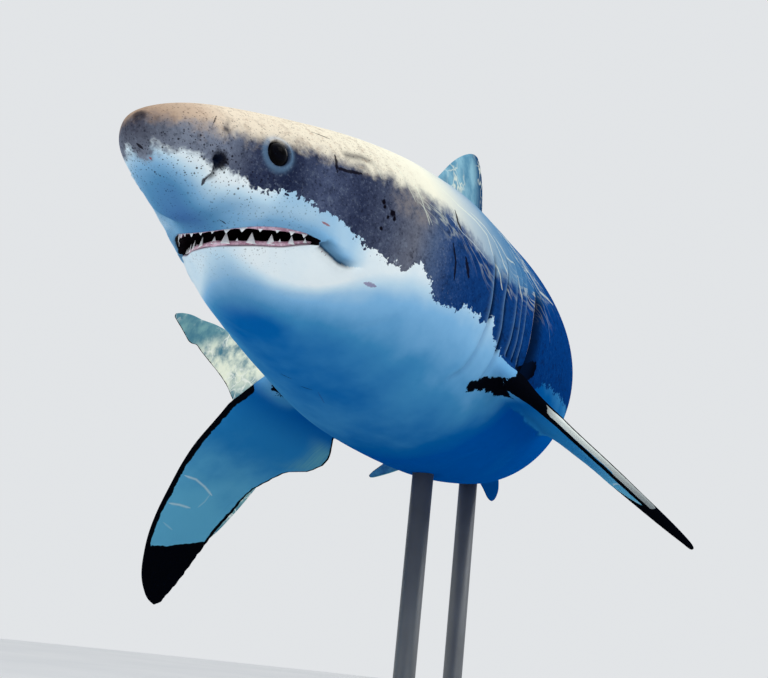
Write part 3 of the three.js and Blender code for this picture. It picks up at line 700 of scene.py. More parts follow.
class FinSet:
    """All the shark's fins, each in its pose."""

    PECTORAL_ROOT = (1199.0, 366.0, -212.0)
    BEND_SPAN = 756.0
    FIRST_DORSAL_ROOT = 1333.0
    PELVIC_ROOT = 2328.0
    SECOND_DORSAL_ROOT = 3040.0
    ANAL_ROOT = 3212.0
    CAUDAL_ROOT = 3360.0
    SEAT = 8.0

    def __init__(self, midline: Midline, form: BodyForm) -> None:
        """Sets each fin on the body.

        Args:
            midline: The bent midline.
            form: The body's surface.
        """
        self.midline = midline
        self.form = form
        left, right = (
            self.pectoral(Side.LEFT, 35.6, 31.64, 7.5, 0.026, 0.02),
            self.pectoral(Side.RIGHT, 21.2, 4.4, 9.8, -0.3175, 0.0),
        )
        first, second = self.median(self.FIRST_DORSAL_ROOT, 1), self.median(self.SECOND_DORSAL_ROOT, 1)
        self.fins = [
            Fin(Zone.PECTORAL_LEFT, PECTORAL_SHAPE, left, 40, 84),
            Fin(Zone.PECTORAL_RIGHT, PECTORAL_SHAPE, right, 40, 84),
            Fin(Zone.PELVIC_LEFT, PELVIC_SHAPE, self.pelvic(Side.LEFT, 32.3, 4.0), 24, 30),
            Fin(Zone.PELVIC_RIGHT, PELVIC_SHAPE, self.pelvic(Side.RIGHT, 59.0, 19.6), 24, 30),
            Fin(Zone.FIRST_DORSAL, FIRST_DORSAL_SHAPE, first, 32, 56),
            Fin(Zone.SECOND_DORSAL, SECOND_DORSAL_SHAPE, second, 20, 20),
            Fin(Zone.ANAL, SECOND_DORSAL_SHAPE, self.median(self.ANAL_ROOT, -1), 20, 20),
            Fin(Zone.CAUDAL, CAUDAL_SHAPE, self.caudal, 32, 110),
        ]

    def pectoral(
        self, side: Side, droop: float, sweep: float, twist: float, bend: float, washout: float
    ) -> Put:
        """A breast fin's pose: drooped, swept, twisted and bent.

        Args:
            side: The side it is on.
            droop: How far it hangs below level, in degrees.
            sweep: How far it is swept back.
            twist: How far its leading edge is raised.
            bend: Its bend towards its tip, upwards, against the bend's span.
            washout: How far the trailing edge rises towards the tip, against the chord.

        Returns:
            The function that puts the fin's points in place.
        """
        along, across, level = self.PECTORAL_ROOT
        forward, left, up = self.midline.frames[round(along / self.midline.step), 1:]
        root = self.midline.place(np.array(along), np.array(side.value * across), np.array(level))
        droop, sweep, twist = (math.radians(angle) for angle in (droop, sweep, twist))
        out = left * side.value * math.cos(droop) - up * math.sin(droop)
        over = unit(np.cross(out, -forward))
        over *= np.sign(over @ up)
        back = -forward * math.cos(twist) - over * math.sin(twist)
        span_way = out * math.cos(sweep) + back * math.sin(sweep)
        chord_way = back * math.cos(sweep) - out * math.sin(sweep)
        thick_way = unit(np.cross(span_way, chord_way))
        thick_way *= np.sign(thick_way @ up)

        def put(span: Array, chord: Array, thick: Array) -> Array:
            """Places the fin's points."""
            lift = (bend * self.BEND_SPAN + washout * chord) * (np.maximum(span, 0) / self.BEND_SPAN) ** 2
            flat = np.outer(chord, chord_way) + np.outer(span, span_way)
            return root + flat + np.outer(thick, thick_way) + np.outer(lift, up)

        return put

    def median(self, root: float, side: int) -> Put:
        """A fin that stands on the back, or hangs below the belly, at a distance along."""
        edge = self.form.curve(self.form.above if side > 0 else self.form.below)

        def put(span: Array, chord: Array, thick: Array) -> Array:
            """Places the fin's points."""
            along = root + chord
            return self.midline.place(along, thick, side * (edge(np.sqrt(along)) - self.SEAT + span))

        return put

    def pelvic(self, side: Side, droop: float, tilt: float) -> Put:
        """A belly fin's pose: drooped outwards, with its trailing edge tilted up.

        Args:
            side: The side it is on.
            droop: How far it hangs below level, in degrees.
            tilt: How far its trailing edge is tilted up.

        Returns:
            The function that puts the fin's points in place.
        """
        root = math.sqrt(self.PELVIC_ROOT)
        across = 0.5 * float(self.form.curve(self.form.half)(root))
        level = -0.89 * float(self.form.curve(self.form.below)(root))
        droop, tilt = math.radians(droop), math.radians(tilt)

        def put(span: Array, chord: Array, thick: Array) -> Array:
            """Places the fin's points."""
            along = chord * math.cos(tilt) - thick * math.sin(tilt)
            over = thick * math.cos(tilt) + chord * math.sin(tilt)
            outward = across + span * math.cos(droop) + over * math.sin(droop)
            drop = level - span * math.sin(droop) + over * math.cos(droop)
            return self.midline.place(self.PELVIC_ROOT + along, side.value * outward, drop)

        return put

    def caudal(self, span: Array, chord: Array, thick: Array) -> Array:
        """Places the tail fin's points."""
        return self.midline.place(self.CAUDAL_ROOT + chord, thick, span)


# ---------------------------------------------------------------- mesh helpers


def new_sheet(bm: BMesh, columns: int, rows: int) -> tuple[list[Vert], Array]:
    """Adds a flat grid to a mesh.

    Args:
        bm: The mesh.
        columns: Faces across the grid.
        rows: Faces up the grid.

    Returns:
        The vertices, and for each its shares, from 0 to 1, across and up the grid.
    """
    verts = bmesh.ops.create_grid(bm, x_segments=columns, y_segments=rows, size=0.5)["verts"]
    return verts, np.array([(vert.co.x + 0.5, vert.co.y + 0.5) for vert in verts])


def place_sheet(bm: BMesh, verts: list[Vert], places: Array, material: int = 0) -> None:
    """Rolls a sheet up into its shape, welds its seam and poles, and turns its faces outwards.

    Args:
        bm: The mesh.
        verts: The sheet's vertices.
        places: A place in metres for each vertex.
        material: The material index that its faces get.
    """
    for vert, place in zip(verts, places):
        vert.co = place
    faces = {face for vert in verts for face in vert.link_faces}
    for face in faces:
        face.material_index = material
        face.smooth = True
    bmesh.ops.remove_doubles(bm, verts=verts, dist=WELD)
    bmesh.ops.recalc_face_normals(bm, faces=[face for face in faces if face.is_valid])


def new_object(name: str, bm: BMesh) -> Object:
    """Makes an object of a mesh that is in metres and in place, and frees the mesh."""
    mesh = bpy.data.meshes.new(name)
    bm.to_mesh(mesh)
    bm.free()
    made = bpy.data.objects.new(name, mesh)
    bpy.context.scene.collection.objects.link(made)
    return made


def set_attribute(mesh: bpy.types.Mesh, name: str, values: Array) -> None:
    """Stores a number or a vector for each vertex of a mesh."""
    kind = "FLOAT" if values.ndim == 1 else "FLOAT_VECTOR"
    made = mesh.attributes.new(name, kind, "POINT")
    made.data.foreach_set("value" if values.ndim == 1 else "vector", values.astype(np.float32).ravel())


def vertex_places(mesh: bpy.types.Mesh) -> Array:
    """A mesh's vertices in the shark's frame, in millimetres."""
    flat = np.empty(len(mesh.vertices) * 3, np.float32)
    mesh.vertices.foreach_get("co", flat)
    return flat.reshape(-1, 3).astype(float) / MM - SNOUT_TIP


# ---------------------------------------------------------------- the skin


@dataclass
class Skin:
    """The one skin over all the flesh: body, fins and the mouth's inside.

    Attributes:
        midline: The bent midline.
        form: The body's surface.
        fins: The fins.
        columns: Faces round the body.
        lip_radius: How round the lips are.
        runs: Stretches of the body, each with its start, its end and the pitch of its rings.
        lip_turns: How far the lip has rolled in at each of its rings, in degrees.
        lining: How far each ring of the mouth's lining reaches in, rises above and sinks below.
        throat: Where the lining ends.
    """

    midline: Midline
    form: BodyForm
    fins: FinSet
    columns: int = 150
    lip_radius: float = 3.4
    runs: tuple[Point, ...] = ((41, 960, 6.5), (960, 1400, 5), (1400, 3360, 20), (3360, BODY_END, 14))
    lip_turns: tuple[float, ...] = (30, 60, 90, 118)
    lining: tuple[Point, ...] = ((9, 3, 3), (24, 12, 5), (60, 24, 7), (110, 16, 2))
    throat: Point = (432.0, 0.0, -112.0)

    def rows(self) -> Array:
        """Distances along of the rings, closest together on the head and the gills."""
        rings = [np.linspace(0, 6.4, 18) ** 2]
        for start, end, pitch in self.runs:
            rings.append(np.linspace(start, end, round((end - start) / pitch) + 1)[1:])
        return np.concatenate([*rings, [BODY_END]])

    def build(self) -> Object:
        """Makes the finished skin, with its attributes but without its materials.

        Returns:
            The skin's object.
        """
        body = self.body_object()
        bm = bmesh.new()
        for fin in self.fins.fins:
            fin.build(bm)
        skin = self.joined(body, new_object("fins_before_joining", bm))
        self.soften_junctions(skin.data)
        Markings(self.midline, self.form, self.fins).apply(skin.data)
        return skin

    def surface_of(self, verts: Sequence[Vert]) -> Array:
        """Straightened points of vertices whose coordinates are angle and distance along."""
        flat = np.array([(vert.co.x, vert.co.y) for vert in verts])
        return self.form.surface(np.maximum(flat[:, 1], 0), flat[:, 0])

    def body_object(self) -> Object:
        """Makes the closed body with its mouth.

        Returns:
            The body's object.
        """
        bm = bmesh.new()
        rows = self.rows()
        verts, shares = new_sheet(bm, self.columns, len(rows) - 1)
        for vert, (around, share) in zip(verts, shares):
            vert.co = (math.pi / 2 + around * 2 * math.pi, rows[round(share * (len(rows) - 1))], 0)
        self.refine(bm, mouth=26, eye=42, crease=20, gill=13)
        self.refine(bm, mouth=11, eye=34, crease=9, gill=0)
        self.cut_mouth(bm)
        self.settle(bm)
        self.line_mouth(bm)
        bmesh.ops.recalc_face_normals(bm, faces=bm.faces[:])
        for face in bm.faces:
            face.smooth = True
        return new_object("body_before_joining", bm)

    def refine(self, bm: BMesh, mouth: float, eye: float, crease: float, gill: float) -> None:
        """Splits the faces that are near fine relief.

        Args:
            bm: The mesh, in angles and distances along.
            mouth: How near to the mouth's rim they are split.
            eye: How near to an eye's middle.
            crease: How near to a crease with painted shade.
            gill: How near to the first gill slit; the others count by their scale.
        """
        centres = np.array([face.calc_center_median()[:2] for face in bm.faces])
        plain, _ = self.form.plain(np.maximum(centres[:, 1], 0), centres[:, 0])
        moved = plain[:, 2] + self.form.mouth_recess(plain[:, 0], plain[:, 2]) * 0.9
        wanted = self.form.at_mouth(plain, 10) & (np.abs(self.form.outside_mouth(plain[:, 0], moved)) < mouth)
        wanted |= self.form.off_eye(plain) < eye
        for groove in self.form.creases:
            if groove.shade:
                wanted |= distance_to_line(on_left(plain), groove.line)[0] < crease
        for slit in self.form.gills:
            wanted |= (np.abs(slit.behind(plain) - 2) < gill * slit.scale) & (slit.window(plain) > 0.02)
        chosen = {edge for face, want in zip(bm.faces, wanted) if want for edge in face.edges}
        bmesh.ops.subdivide_edges(bm, edges=list(chosen), cuts=1, use_grid_fill=True)

    def cut_mouth(self, bm: BMesh) -> None:
        """Opens the mouth between the lips, in the flat space of angle and distance along."""
        points = self.surface_of(bm.verts)
        outside = self.form.outside_mouth(points[:, 0], points[:, 2]) - self.lip_radius
        near = self.form.at_mouth(points, 25)
        for vert, height, close in zip(bm.verts, outside, near):
            vert.co.z = height if close else OUTSIDE
        faces = [face for face in bm.faces if any(vert.co.z < OUTSIDE / 3 for vert in face.verts)]
        parts = {part for face in faces for part in (face, *face.edges, *face.verts)}
        bmesh.ops.bisect_plane(bm, geom=list(parts), dist=1e-4, plane_co=(0, 0, 0), plane_no=(0, 0, 1))
        hole = [face for face in bm.faces if face.calc_center_median().z < 0]
        bmesh.ops.delete(bm, geom=hole, context="FACES")

    def settle(self, bm: BMesh) -> None:
        """Moves every vertex from angle and distance along to its place, and shuts the body's ends."""
        points = self.surface_of(bm.verts)
        points[[vert.is_boundary and vert.co.y >= BODY_END for vert in bm.verts], 1:] = 0.0
        for vert, place in zip(bm.verts, self.midline.metres(points)):
            vert.co = place
        bmesh.ops.remove_doubles(bm, verts=bm.verts[:], dist=WELD)
        bmesh.ops.recalc_face_normals(bm, faces=bm.faces[:])
        bm.normal_update()

    def mouth_loop(self, bm: BMesh) -> list[Vert]:
        """The mouth's rim in order round the opening."""
        edges = {edge for edge in bm.edges if edge.is_boundary}
        first = next(iter(edges))
        loop = [first.verts[0], first.verts[1]]
        edges.discard(first)
        while True:
            onward = next((edge for edge in loop[-1].link_edges if edge in edges), None)
            if onward is None:
                break
            edges.discard(onward)
            loop.append(onward.other_vert(loop[-1]))
        if edges:
            LOG.warning("the mouth's rim leaves %d edges over", len(edges))
        return loop[:-1] if loop[-1] is loop[0] else loop

    def next_ring(self, bm: BMesh, ring: list[Vert], places: Array) -> list[Vert]:
        """Extrudes a ring of the mouth and moves the new ring to places in metres."""
        members = set(ring)
        edges = [edge for edge in bm.edges if edge.is_boundary and members.issuperset(edge.verts)]
        bmesh.ops.extrude_edge_only(bm, edges=edges)
        made = []
        for vert, place in zip(ring, places):
            others = (edge.other_vert(vert) for edge in vert.link_edges)
            made.append(next(other for other in others if other not in members and other.is_boundary))
            made[-1].co = place
        return made

    @staticmethod
    def eased(values: Array) -> Array:
        """Values round a closed ring, each averaged with its two neighbours."""
        return (np.roll(values, 1, 0) + values + np.roll(values, -1, 0)) / 3

    def line_mouth(self, bm: BMesh) -> None:
        """Rolls the lips inwards and lines the mouth behind them."""
        ring = self.mouth_loop(bm)
        base = np.array([vert.co for vert in ring])
        normal = np.array([vert.normal for vert in ring])
        into = np.cross(normal, np.roll(base, -1, 0) - np.roll(base, 1, 0))
        around = [[face.calc_center_median() for face in vert.link_faces] for vert in ring]
        middles = np.array([np.mean(centres, 0) for centres in around])
        into *= np.sign(((base - middles) * into).sum(1))[:, None]
        for _ in range(10):
            into, normal = self.eased(unit(into)), self.eased(normal)
        into, normal = unit(into), unit(normal)
        upper, lower, _ = self.lip_levels(base)
        radius = self.lip_radius * np.clip((upper - lower) / 14, 0.25, 1) * MM
        for angle in self.lip_turns:
            turn = math.radians(angle)
            ahead, inside = radius * math.sin(turn), radius * (1 - math.cos(turn))
            ring = self.next_ring(bm, ring, base + into * ahead[:, None] - normal * inside[:, None])
        known = set(bm.faces)
        upper, lower, straight = self.lip_levels(np.array([vert.co for vert in ring]))
        above = np.where(straight[:, 2] > (upper + lower) / 2, 1.0, -1.0)
        for _ in range(6):
            above = self.eased(above)
        inward = unit(np.stack([440 - straight[:, 0], -straight[:, 1]], 1))
        for reach, rise, sink in self.lining:
            points = straight.copy()
            points[:, :2] += inward * reach
            points[:, 2] += above * np.where(above > 0, rise, sink)
            ring = self.next_ring(bm, ring, self.midline.metres(points))
        throat = self.midline.metres(np.array(self.throat))
        ring = self.next_ring(bm, ring, np.tile(throat, (len(ring), 1)))
        bmesh.ops.remove_doubles(bm, verts=ring, dist=1e-5)
        for face in bm.faces:
            if face not in known:
                face.material_index = Zone.MOUTH.value

    def lip_levels(self, places: Array) -> tuple[Array, Array, Array]:
        """The upper and the lower lip's level at places in metres, and the places straightened."""
        straight = self.midline.straighten(places / MM - SNOUT_TIP)
        return self.form.upper_level(straight[:, 0]), self.form.lower_level(straight[:, 0]), straight

    def joined(self, body: Object, fins: Object) -> Object:
        """Joins the fins to the body in one closed skin.

        Args:
            body: The body's object; it is taken away.
            fins: The fins' object; it is taken away.

        Returns:
            The joined skin.
        """
        for part in (body, fins):
            for zone in Zone:
                material = bpy.data.materials.get(zone.name) or bpy.data.materials.new(zone.name)
                part.data.materials.append(material)
        union = body.modifiers.new("join", "BOOLEAN")
        union.operation = "UNION"
        union.solver = "MANIFOLD"
        union.object = fins
        mesh = bpy.data.meshes.new_from_object(body.evaluated_get(bpy.context.evaluated_depsgraph_get()))
        sizes = (len(part.polygons) for part in (body.data, fins.data, mesh))
        LOG.info("body %d and fins %d faces join to %d", *sizes)
        for part in (body, fins):
            bpy.data.objects.remove(part)
        skin = bpy.data.objects.new("shark_skin", mesh)
        bpy.context.scene.collection.objects.link(skin)
        return skin

    def soften_junctions(self, mesh: bpy.types.Mesh) -> None:
        """Rounds the skin where the fins meet the body."""
        bm = bmesh.new()
        bm.from_mesh(mesh)

        def junction() -> set[Vert]:
            """The vertices of the edges with fin on one side and body on the other."""
            return {
                vert
                for edge in bm.edges
                if len({face.material_index >= Zone.PECTORAL_LEFT.value for face in edge.link_faces}) > 1
                for vert in edge.verts
            }

        bmesh.ops.remove_doubles(bm, verts=list(junction()), dist=1.5e-3)
        rings = [junction()]
        for _ in range(3):
            rings.append(rings[-1] | {edge.other_vert(vert) for vert in rings[-1] for edge in vert.link_edges})
        axes = {"use_axis_x": True, "use_axis_y": True, "use_axis_z": True}
        for ring, rounds in ((rings[3], 2), (rings[2], 5), (rings[1], 6), (rings[2], 2)):
            for _ in range(rounds):
                bmesh.ops.smooth_vert(bm, verts=list(ring), factor=0.5, **axes)
        for face in bm.faces:
            face.smooth = True
        bm.to_mesh(mesh)
        bm.free()


# ---------------------------------------------------------------- markings


@dataclass
class Markings:
    """Works out, for each vertex of the skin, where the coat's colours and its painted light and shade lie.

    The class's curves give levels against the distance along: BORDER is the dark coat's lower edge,
    CROWN that of the crown's tan and painted sunlight, CHEEK_FOLD the fold behind the mouth's corner,
    and the pale coat is white at the levels of SNOUT_PALE and BELLY_PALE and darkened to blue by painted
    shade at those of SNOUT_BLUE and BELLY_BLUE.
    """

    midline: Midline
    form: BodyForm
    fins: FinSet

    BORDER = SmoothCurve(
        (
            0, 40, 57, 82, 136, 161, 203, 240, 272, 314, 354, 391, 435, 465, 507, 551, 613, 662, 700,
            733, 793, 856, 937, 999, 1033, 1056, 1080, 1134, 1166, 1200, 1300, 1400, 1520, 1620, 1726,
            2300, 2800, 3720,
        ),
        (
            -30, -41, -47, -38, -46, -40, -45, -55, -52, -41, -43, -47, -48, -60, -73, -78, -88, -84, -55,
            -81, -118, -110, -93, -104, -80, -114, -140, -150, -188, -212, -214, -196, -140, -133, -128,
            -100, -60, -10,
        ),
    )
    CROWN = SmoothCurve(
        (20, 79, 131, 193, 240, 331, 413, 497, 586, 690, 791, 924, 1048, 1211, 1443, 1600, 2400, 3700),
        (8, 14, 24, 38, 55, 76, 84, 95, 108, 110, 106, 74, 46, 60, 100, 110, 140, 40),
    )
    CHEEK_FOLD = SmoothCurve((428, 447, 485, 507, 540), (-103, -111, -123, -124, -117))
    SNOUT_PALE = SmoothCurve((110, 200, 330), (-42, -58, -60))
    SNOUT_BLUE = SmoothCurve((60, 110, 170, 235, 300, 400), (-92, -95, -112, -128, -170, -260))
    BELLY_PALE = SmoothCurve(
        (300, 440, 600, 770, 900, 1060, 1240, 1400, 1700),
        (-176, -204, -158, -126, -112, -112, -60, 120, 0),
    )
    BELLY_BLUE = SmoothCurve(
        (300, 440, 600, 770, 900, 1060, 1240, 1400, 1700, 2500),
        (-260, -255, -290, -322, -365, -410, -330, -100, -160, -120),
    )
    BLOTCH = (
        (1082, 288, -244), (1120, 300, -230), (1180, 322, -214),
        (1250, 335, -200), (1332, 335, -153), (1395, 345, -118),
    )
    MIDDLE_BORDER = -60.0
    FAR = 200.0

    def apply(self, mesh: bpy.types.Mesh) -> None:
        """Stores the skin's attributes on its mesh, and leaves it two materials' indices."""
        places = vertex_places(mesh)
        zones = np.empty(len(mesh.polygons), np.int32)
        mesh.polygons.foreach_get("material_index", zones)
        mesh.materials.clear()
        zone_of = self.zones_of_vertices(mesh, zones)
        straight = self.midline.straighten(places)
        along, across, level = straight.T
        middle = smooth_step(np.abs(across), -1, 40)
        border = (level - self.BORDER(along)) * middle + (level - self.MIDDLE_BORDER) * (1 - middle)
        black = self.blotch(straight)
        on_fin = np.zeros(len(places))
        fin_place = np.full((len(places), 3), self.FAR)
        kind = np.zeros((len(places), 3))
        for fin in self.fins.fins:
            mine = np.flatnonzero(zone_of == fin.zone.value)
            facts = self.nearest(places[mine], fin)
            span, chord, _, lead, trail = facts.T
            share = np.ones(len(mine)) if fin.shape.two_tips else smooth_step(span, 5, 70)
            edge, dark = self.fin_marks(fin.zone, facts)
            border[mine] = border[mine] * (1 - share) + edge * share
            far = smooth_step(span, 40, 90)
            near = smooth_step(span, -45, -15) if fin.zone is Zone.PECTORAL_LEFT else share
            own, shared = dark * near - OUTSIDE * (1 - near), black[mine] * (1 - far) - OUTSIDE * far
            black[mine] = np.maximum(shared, own)
            on_fin[mine] = share
            fin_place[mine] = np.stack([span, chord - lead, trail - chord], 1)
            kind[mine] = self.kind_of(fin.zone)
        shade, crest = self.relief_shade(straight, zone_of)
        lengths = {
            "straight": straight,
            "unrolled": self.form.unroll(straight),
            "border": border,
            "black": black,
            "crown": level - self.CROWN(along),
            "fin_place": fin_place,
        }
        shares = {
            "tone": self.tone(straight),
            "on_fin": on_fin,
            "kind": kind,
            "shade": shade,
            "crest": crest,
            "lip": self.lip(straight, zone_of),
        }
        for name, values in {**{name: values * MM for name, values in lengths.items()}, **shares}.items():
            set_attribute(mesh, name, values)
        mesh.polygons.foreach_set("material_index", (zones == Zone.MOUTH.value).astype(np.int32))

    @staticmethod
    def zones_of_vertices(mesh: bpy.types.Mesh, zones: Array) -> Array:
        """The highest zone among the faces round each vertex."""
        loops = np.empty(len(mesh.loops), np.int32)
        mesh.loops.foreach_get("vertex_index", loops)
        sizes = np.empty(len(mesh.polygons), np.int32)
        mesh.polygons.foreach_get("loop_total", sizes)
        zone_of = np.zeros(len(mesh.vertices), int)
        np.maximum.at(zone_of, loops, np.repeat(zones, sizes))
        return zone_of

    def nearest(self, places: Array, fin: Fin, batch: int = 1500) -> Array:
        """The fin's own facts at the points of the skin: span, chord, thickness, lead and trail."""
        known = fin.places / MM - SNOUT_TIP
        found = np.empty((len(places), fin.facts.shape[1]))
        for start in range(0, len(places), batch):
            part = places[start : start + batch]
            gaps = ((part[:, None, :] - known[None]) ** 2).sum(2)
            found[start : start + batch] = fin.facts[gaps.argmin(1)]
        return found

    @staticmethod
    def kind_of(zone: Zone) -> tuple[float, float, float]:
        """Whether a fin is a breast fin, the tail fin or the back fin, as three masks."""
        pectoral = zone in (Zone.PECTORAL_LEFT, Zone.PECTORAL_RIGHT)
        return float(pectoral), float(zone is Zone.CAUDAL), float(zone is Zone.FIRST_DORSAL)

    @staticmethod
    def fin_marks(zone: Zone, facts: Array) -> tuple[Array, Array]:
        """Where a fin is dark and where it is black.

        Args:
            zone: Which fin.
            facts: Span, chord, thickness, lead and trail at each point.

        Returns:
            Signed distances inside the dark coat and inside the black margins.
        """
        span, chord, thick, lead, trail = facts.T
        from_lead, from_trail = chord - lead, trail - chord
        upper = np.where(thick > 0, OUTSIDE, -OUTSIDE)
        none = np.full(len(facts), -OUTSIDE)
        if zone in (Zone.PECTORAL_LEFT, Zone.PECTORAL_RIGHT):
            tip = span - 600 - 80 * from_trail / (trail - lead)
            rear = 10 + 9 * bell(span - 530, 80) - from_trail
            front = 18 - from_lead
            if zone is Zone.PECTORAL_LEFT:
                root = 60 * (1 - smooth_step(span, 60, 120))
                above = np.maximum(root - 40, np.minimum(from_lead - 7, 60 - from_lead))
                front = np.where(thick > 0, above, np.minimum(58 - from_lead, from_lead - 19 + root))
                # The underside's first 19 mm behind the lead takes the upper side's colours, so the painted
                # highlight along the leading edge wraps under it.
                upper = np.where((thick > 0) | (from_lead < 19), OUTSIDE, -OUTSIDE)
                tip = tip + 130
            return upper, np.maximum(np.maximum(front, rear), tip)
        if zone in (Zone.PELVIC_LEFT, Zone.PELVIC_RIGHT):
            return upper, 5 - from_trail
        if zone is Zone.CAUDAL:
            return -none, 5 - from_trail
        return (none if zone is Zone.ANAL else -none), none

    def blotch(self, straight: Array) -> Array:
        """Signed distance inside the black blotches ahead of and over the breast fins' roots; their upper ends
        run on as painted shade into the hollow behind the gills.
        """
        squeeze = np.array([1.0, 0.35, 1.0])
        gap, share = distance_to_line(on_left(straight) * squeeze, np.array(self.BLOTCH) * squeeze)
        return 14 + 26 * smooth_step(share, 0, 0.6) * (1 - 0.7 * smooth_step(share, 0.75, 1)) - gap

    def tone(self, straight: Array) -> Array:
        """How deep the painted blue shade of the pale coat is at each point, from 0, white, to 1, deep blue."""
        along, across, level = straight.T
        pale, blue = self.SNOUT_PALE(along), self.SNOUT_BLUE(along)
        # Painted light: the snout's left side is kept paler.
        lit_side = (0.08 + 0.16 * smooth_step(along, 230, 150)) * smooth_step(across, 10, 80)
        snout = 0.17 + 0.56 * (pale - level) / (pale - blue) - lit_side
        fold = np.where(along < 428, self.form.upper_level(along), self.CHEEK_FOLD(along))
        # Painted shade: a darker band along the upper lip and the cheek fold.
        cheek = 0.27 + 0.2 * (1 - smooth_step(level - fold, 0, 36))
        share = smooth_step(along, 255, 310)
        upper = snout * (1 - share) + cheek * share
        pale, blue = self.BELLY_PALE(along), self.BELLY_BLUE(along)
        down = (pale - level) / (pale - blue)
        lower = np.clip(0.33 + np.where(down > 0, 0.43, 0.9) * down, 0, 1)
        # Painted shade on the chin towards its right side.
        lower += 0.14 * smooth_step(across, 95, 15) * (1 - smooth_step(along, 480, 700))
        above_fold = (level > fold - 1) & (along < 560)
        share = np.where(above_fold, 1 - smooth_step(along, 480, 560), 0.0)
        share = np.where(along < 232, 1.0, share)
        return np.clip(upper * share + lower * (1 - share), 0, 1)

    def relief_shade(self, straight: Array, zone_of: Array) -> tuple[Array, Array]:
        """The painted shade of clefts, grooves and the hollow behind the gills at each point, and the painted
        highlight on the gill flaps' crests and round the eyelids.
        """
        shade, crest = np.zeros(len(straight)), np.zeros(len(straight))
        body = np.flatnonzero(zone_of == Zone.BODY.value)
        points = straight[body]
        dark, flap_highlight = np.zeros(len(body)), np.zeros(len(body))
        for crease in self.form.creases:
            dark = np.maximum(dark, crease.dark(points))
        coat = 0.15 + 0.85 * smooth_step(points[:, 2] - self.BORDER(points[:, 0]), -12, 8)
        coat = np.where(self.form.at_gills(points[:, 0]), coat, 0.0)
        for gill in self.form.gills:
            dark = np.maximum(dark, gill.dark(points) * coat)
            flap_highlight = np.maximum(flap_highlight, gill.crest(points) * coat)
        hollow = self.form.hollow_shade(points)
        shade[body] = np.maximum(dark, hollow)
        # Painted highlight on the raised eyelids round the eye.
        lids = 0.9 * bell(self.form.off_eye(points) - 34, 6)
        crest[body] = np.maximum(flap_highlight * (1 - hollow), lids)
        return shade, crest

    def lip(self, straight: Array, zone_of: Array) -> Array:
        """How near each point is to the mouth's rim: 1 on it, 0 away from it."""
        gap = self.form.outside_mouth(straight[:, 0], straight[:, 2])
        near = self.form.at_mouth(straight) & (zone_of <= Zone.MOUTH.value)
        return np.where(near, 1 - smooth_step(gap, 0.0, 3.0), 0.0)


# ---------------------------------------------------------------- eyes and teeth


@dataclass
class Eyes:
    """The two eyeballs, black and glossy."""

    midline: Midline
    form: BodyForm

    def build(self, side: Side) -> Object:
        """Makes one eyeball, with the distance from its middle line as an attribute.

        Args:
            side: Which eye.

        Returns:
            The eyeball's object.
        """
        bm = bmesh.new()
        radius = self.form.eye_radius
        bmesh.ops.create_uvsphere(bm, u_segments=48, v_segments=32, radius=radius * MM)
        axis = Vector(unit(np.array(self.form.eye_look)) * [-1.0, side.value, 1.0])
        turn = axis.to_track_quat("Z", "Y").to_matrix().to_4x4()
        place = self.midline.metres(self.form.eye_centre() * [1.0, side.value, 1.0])
        off_axis = np.array([vert.co.xy.length / MM if vert.co.z > 0 else radius for vert in bm.verts])
        bmesh.ops.transform(bm, matrix=Matrix.Translation(place) @ turn, verts=bm.verts[:])
        for face in bm.faces:
            face.smooth = True
        made = new_object(f"eyeball_{side.name.lower()}", bm)
        set_attribute(made.data, "off_axis", off_axis)
        return made


@dataclass(frozen=True)
class Arch:
    """A row of teeth round the front of a jaw.

    Attributes:
        jaw: Which jaw, for the names of its pieces.
        up: The way its teeth point: 1 up, or -1 down.
        front: The arch's foremost distance along.
        rise: How it runs back with the distance across.
        power: The power of the distance across.
        teeth: Each tooth's place across, to the shark's left, and height.
        breadth: A tooth's half width against its height.
        root: How far a tooth reaches behind the lip's level; less than 0 if it starts beyond it.
        seat: How far the gum's middle is beyond the lip's level.
        bulge: How much further that is at the corner of the mouth.
        behind: How far the gum's middle is behind the teeth.
    """

    jaw: str
    up: float
    front: float
    rise: float
    power: float
    teeth: tuple[tuple[float, float], ...]
    breadth: float
    root: float
    seat: float
    bulge: float
    behind: float

    def along(self, across: Array) -> Array:
        """The arch's distance along at distances across."""
        return self.front + self.rise * np.abs(across) ** self.power

    def slope(self, across: Array) -> Array:
        """How fast the arch runs back at distances across."""
        return self.rise * self.power * np.abs(across) ** (self.power - 1)


UPPER_ARCH = Arch(
    jaw="upper",
    up=-1.0,
    front=258,
    rise=0.0048,
    power=2.0,
    teeth=((-156, 5), (-134, 8), (-110, 8), (-84, 9), (-60, 6), (-32, 8), (-4, 6))
    + ((24, 5), (52, 8), (79, 9), (107, 9), (131, 8), (150, 7), (166, 4)),
    breadth=0.72,
    root=5.0,
    seat=-10.0,
    bulge=5.0,
    behind=3.5,
)
LOWER_ARCH = Arch(
    jaw="lower",
    up=1.0,
    front=297,
    rise=0.0538,
    power=1.5,
    teeth=((-147, 16), (-130, 20), (-110, 26), (-84, 29), (-66, 16), (-43, 30), (3, 22))
    + ((27, 32), (49, 19), (74, 32), (107, 29), (121, 19), (139, 24), (160, 16)),
    breadth=0.37,
    root=-4.0,
    seat=7.0,
    bulge=0.0,
    behind=8.0,
)


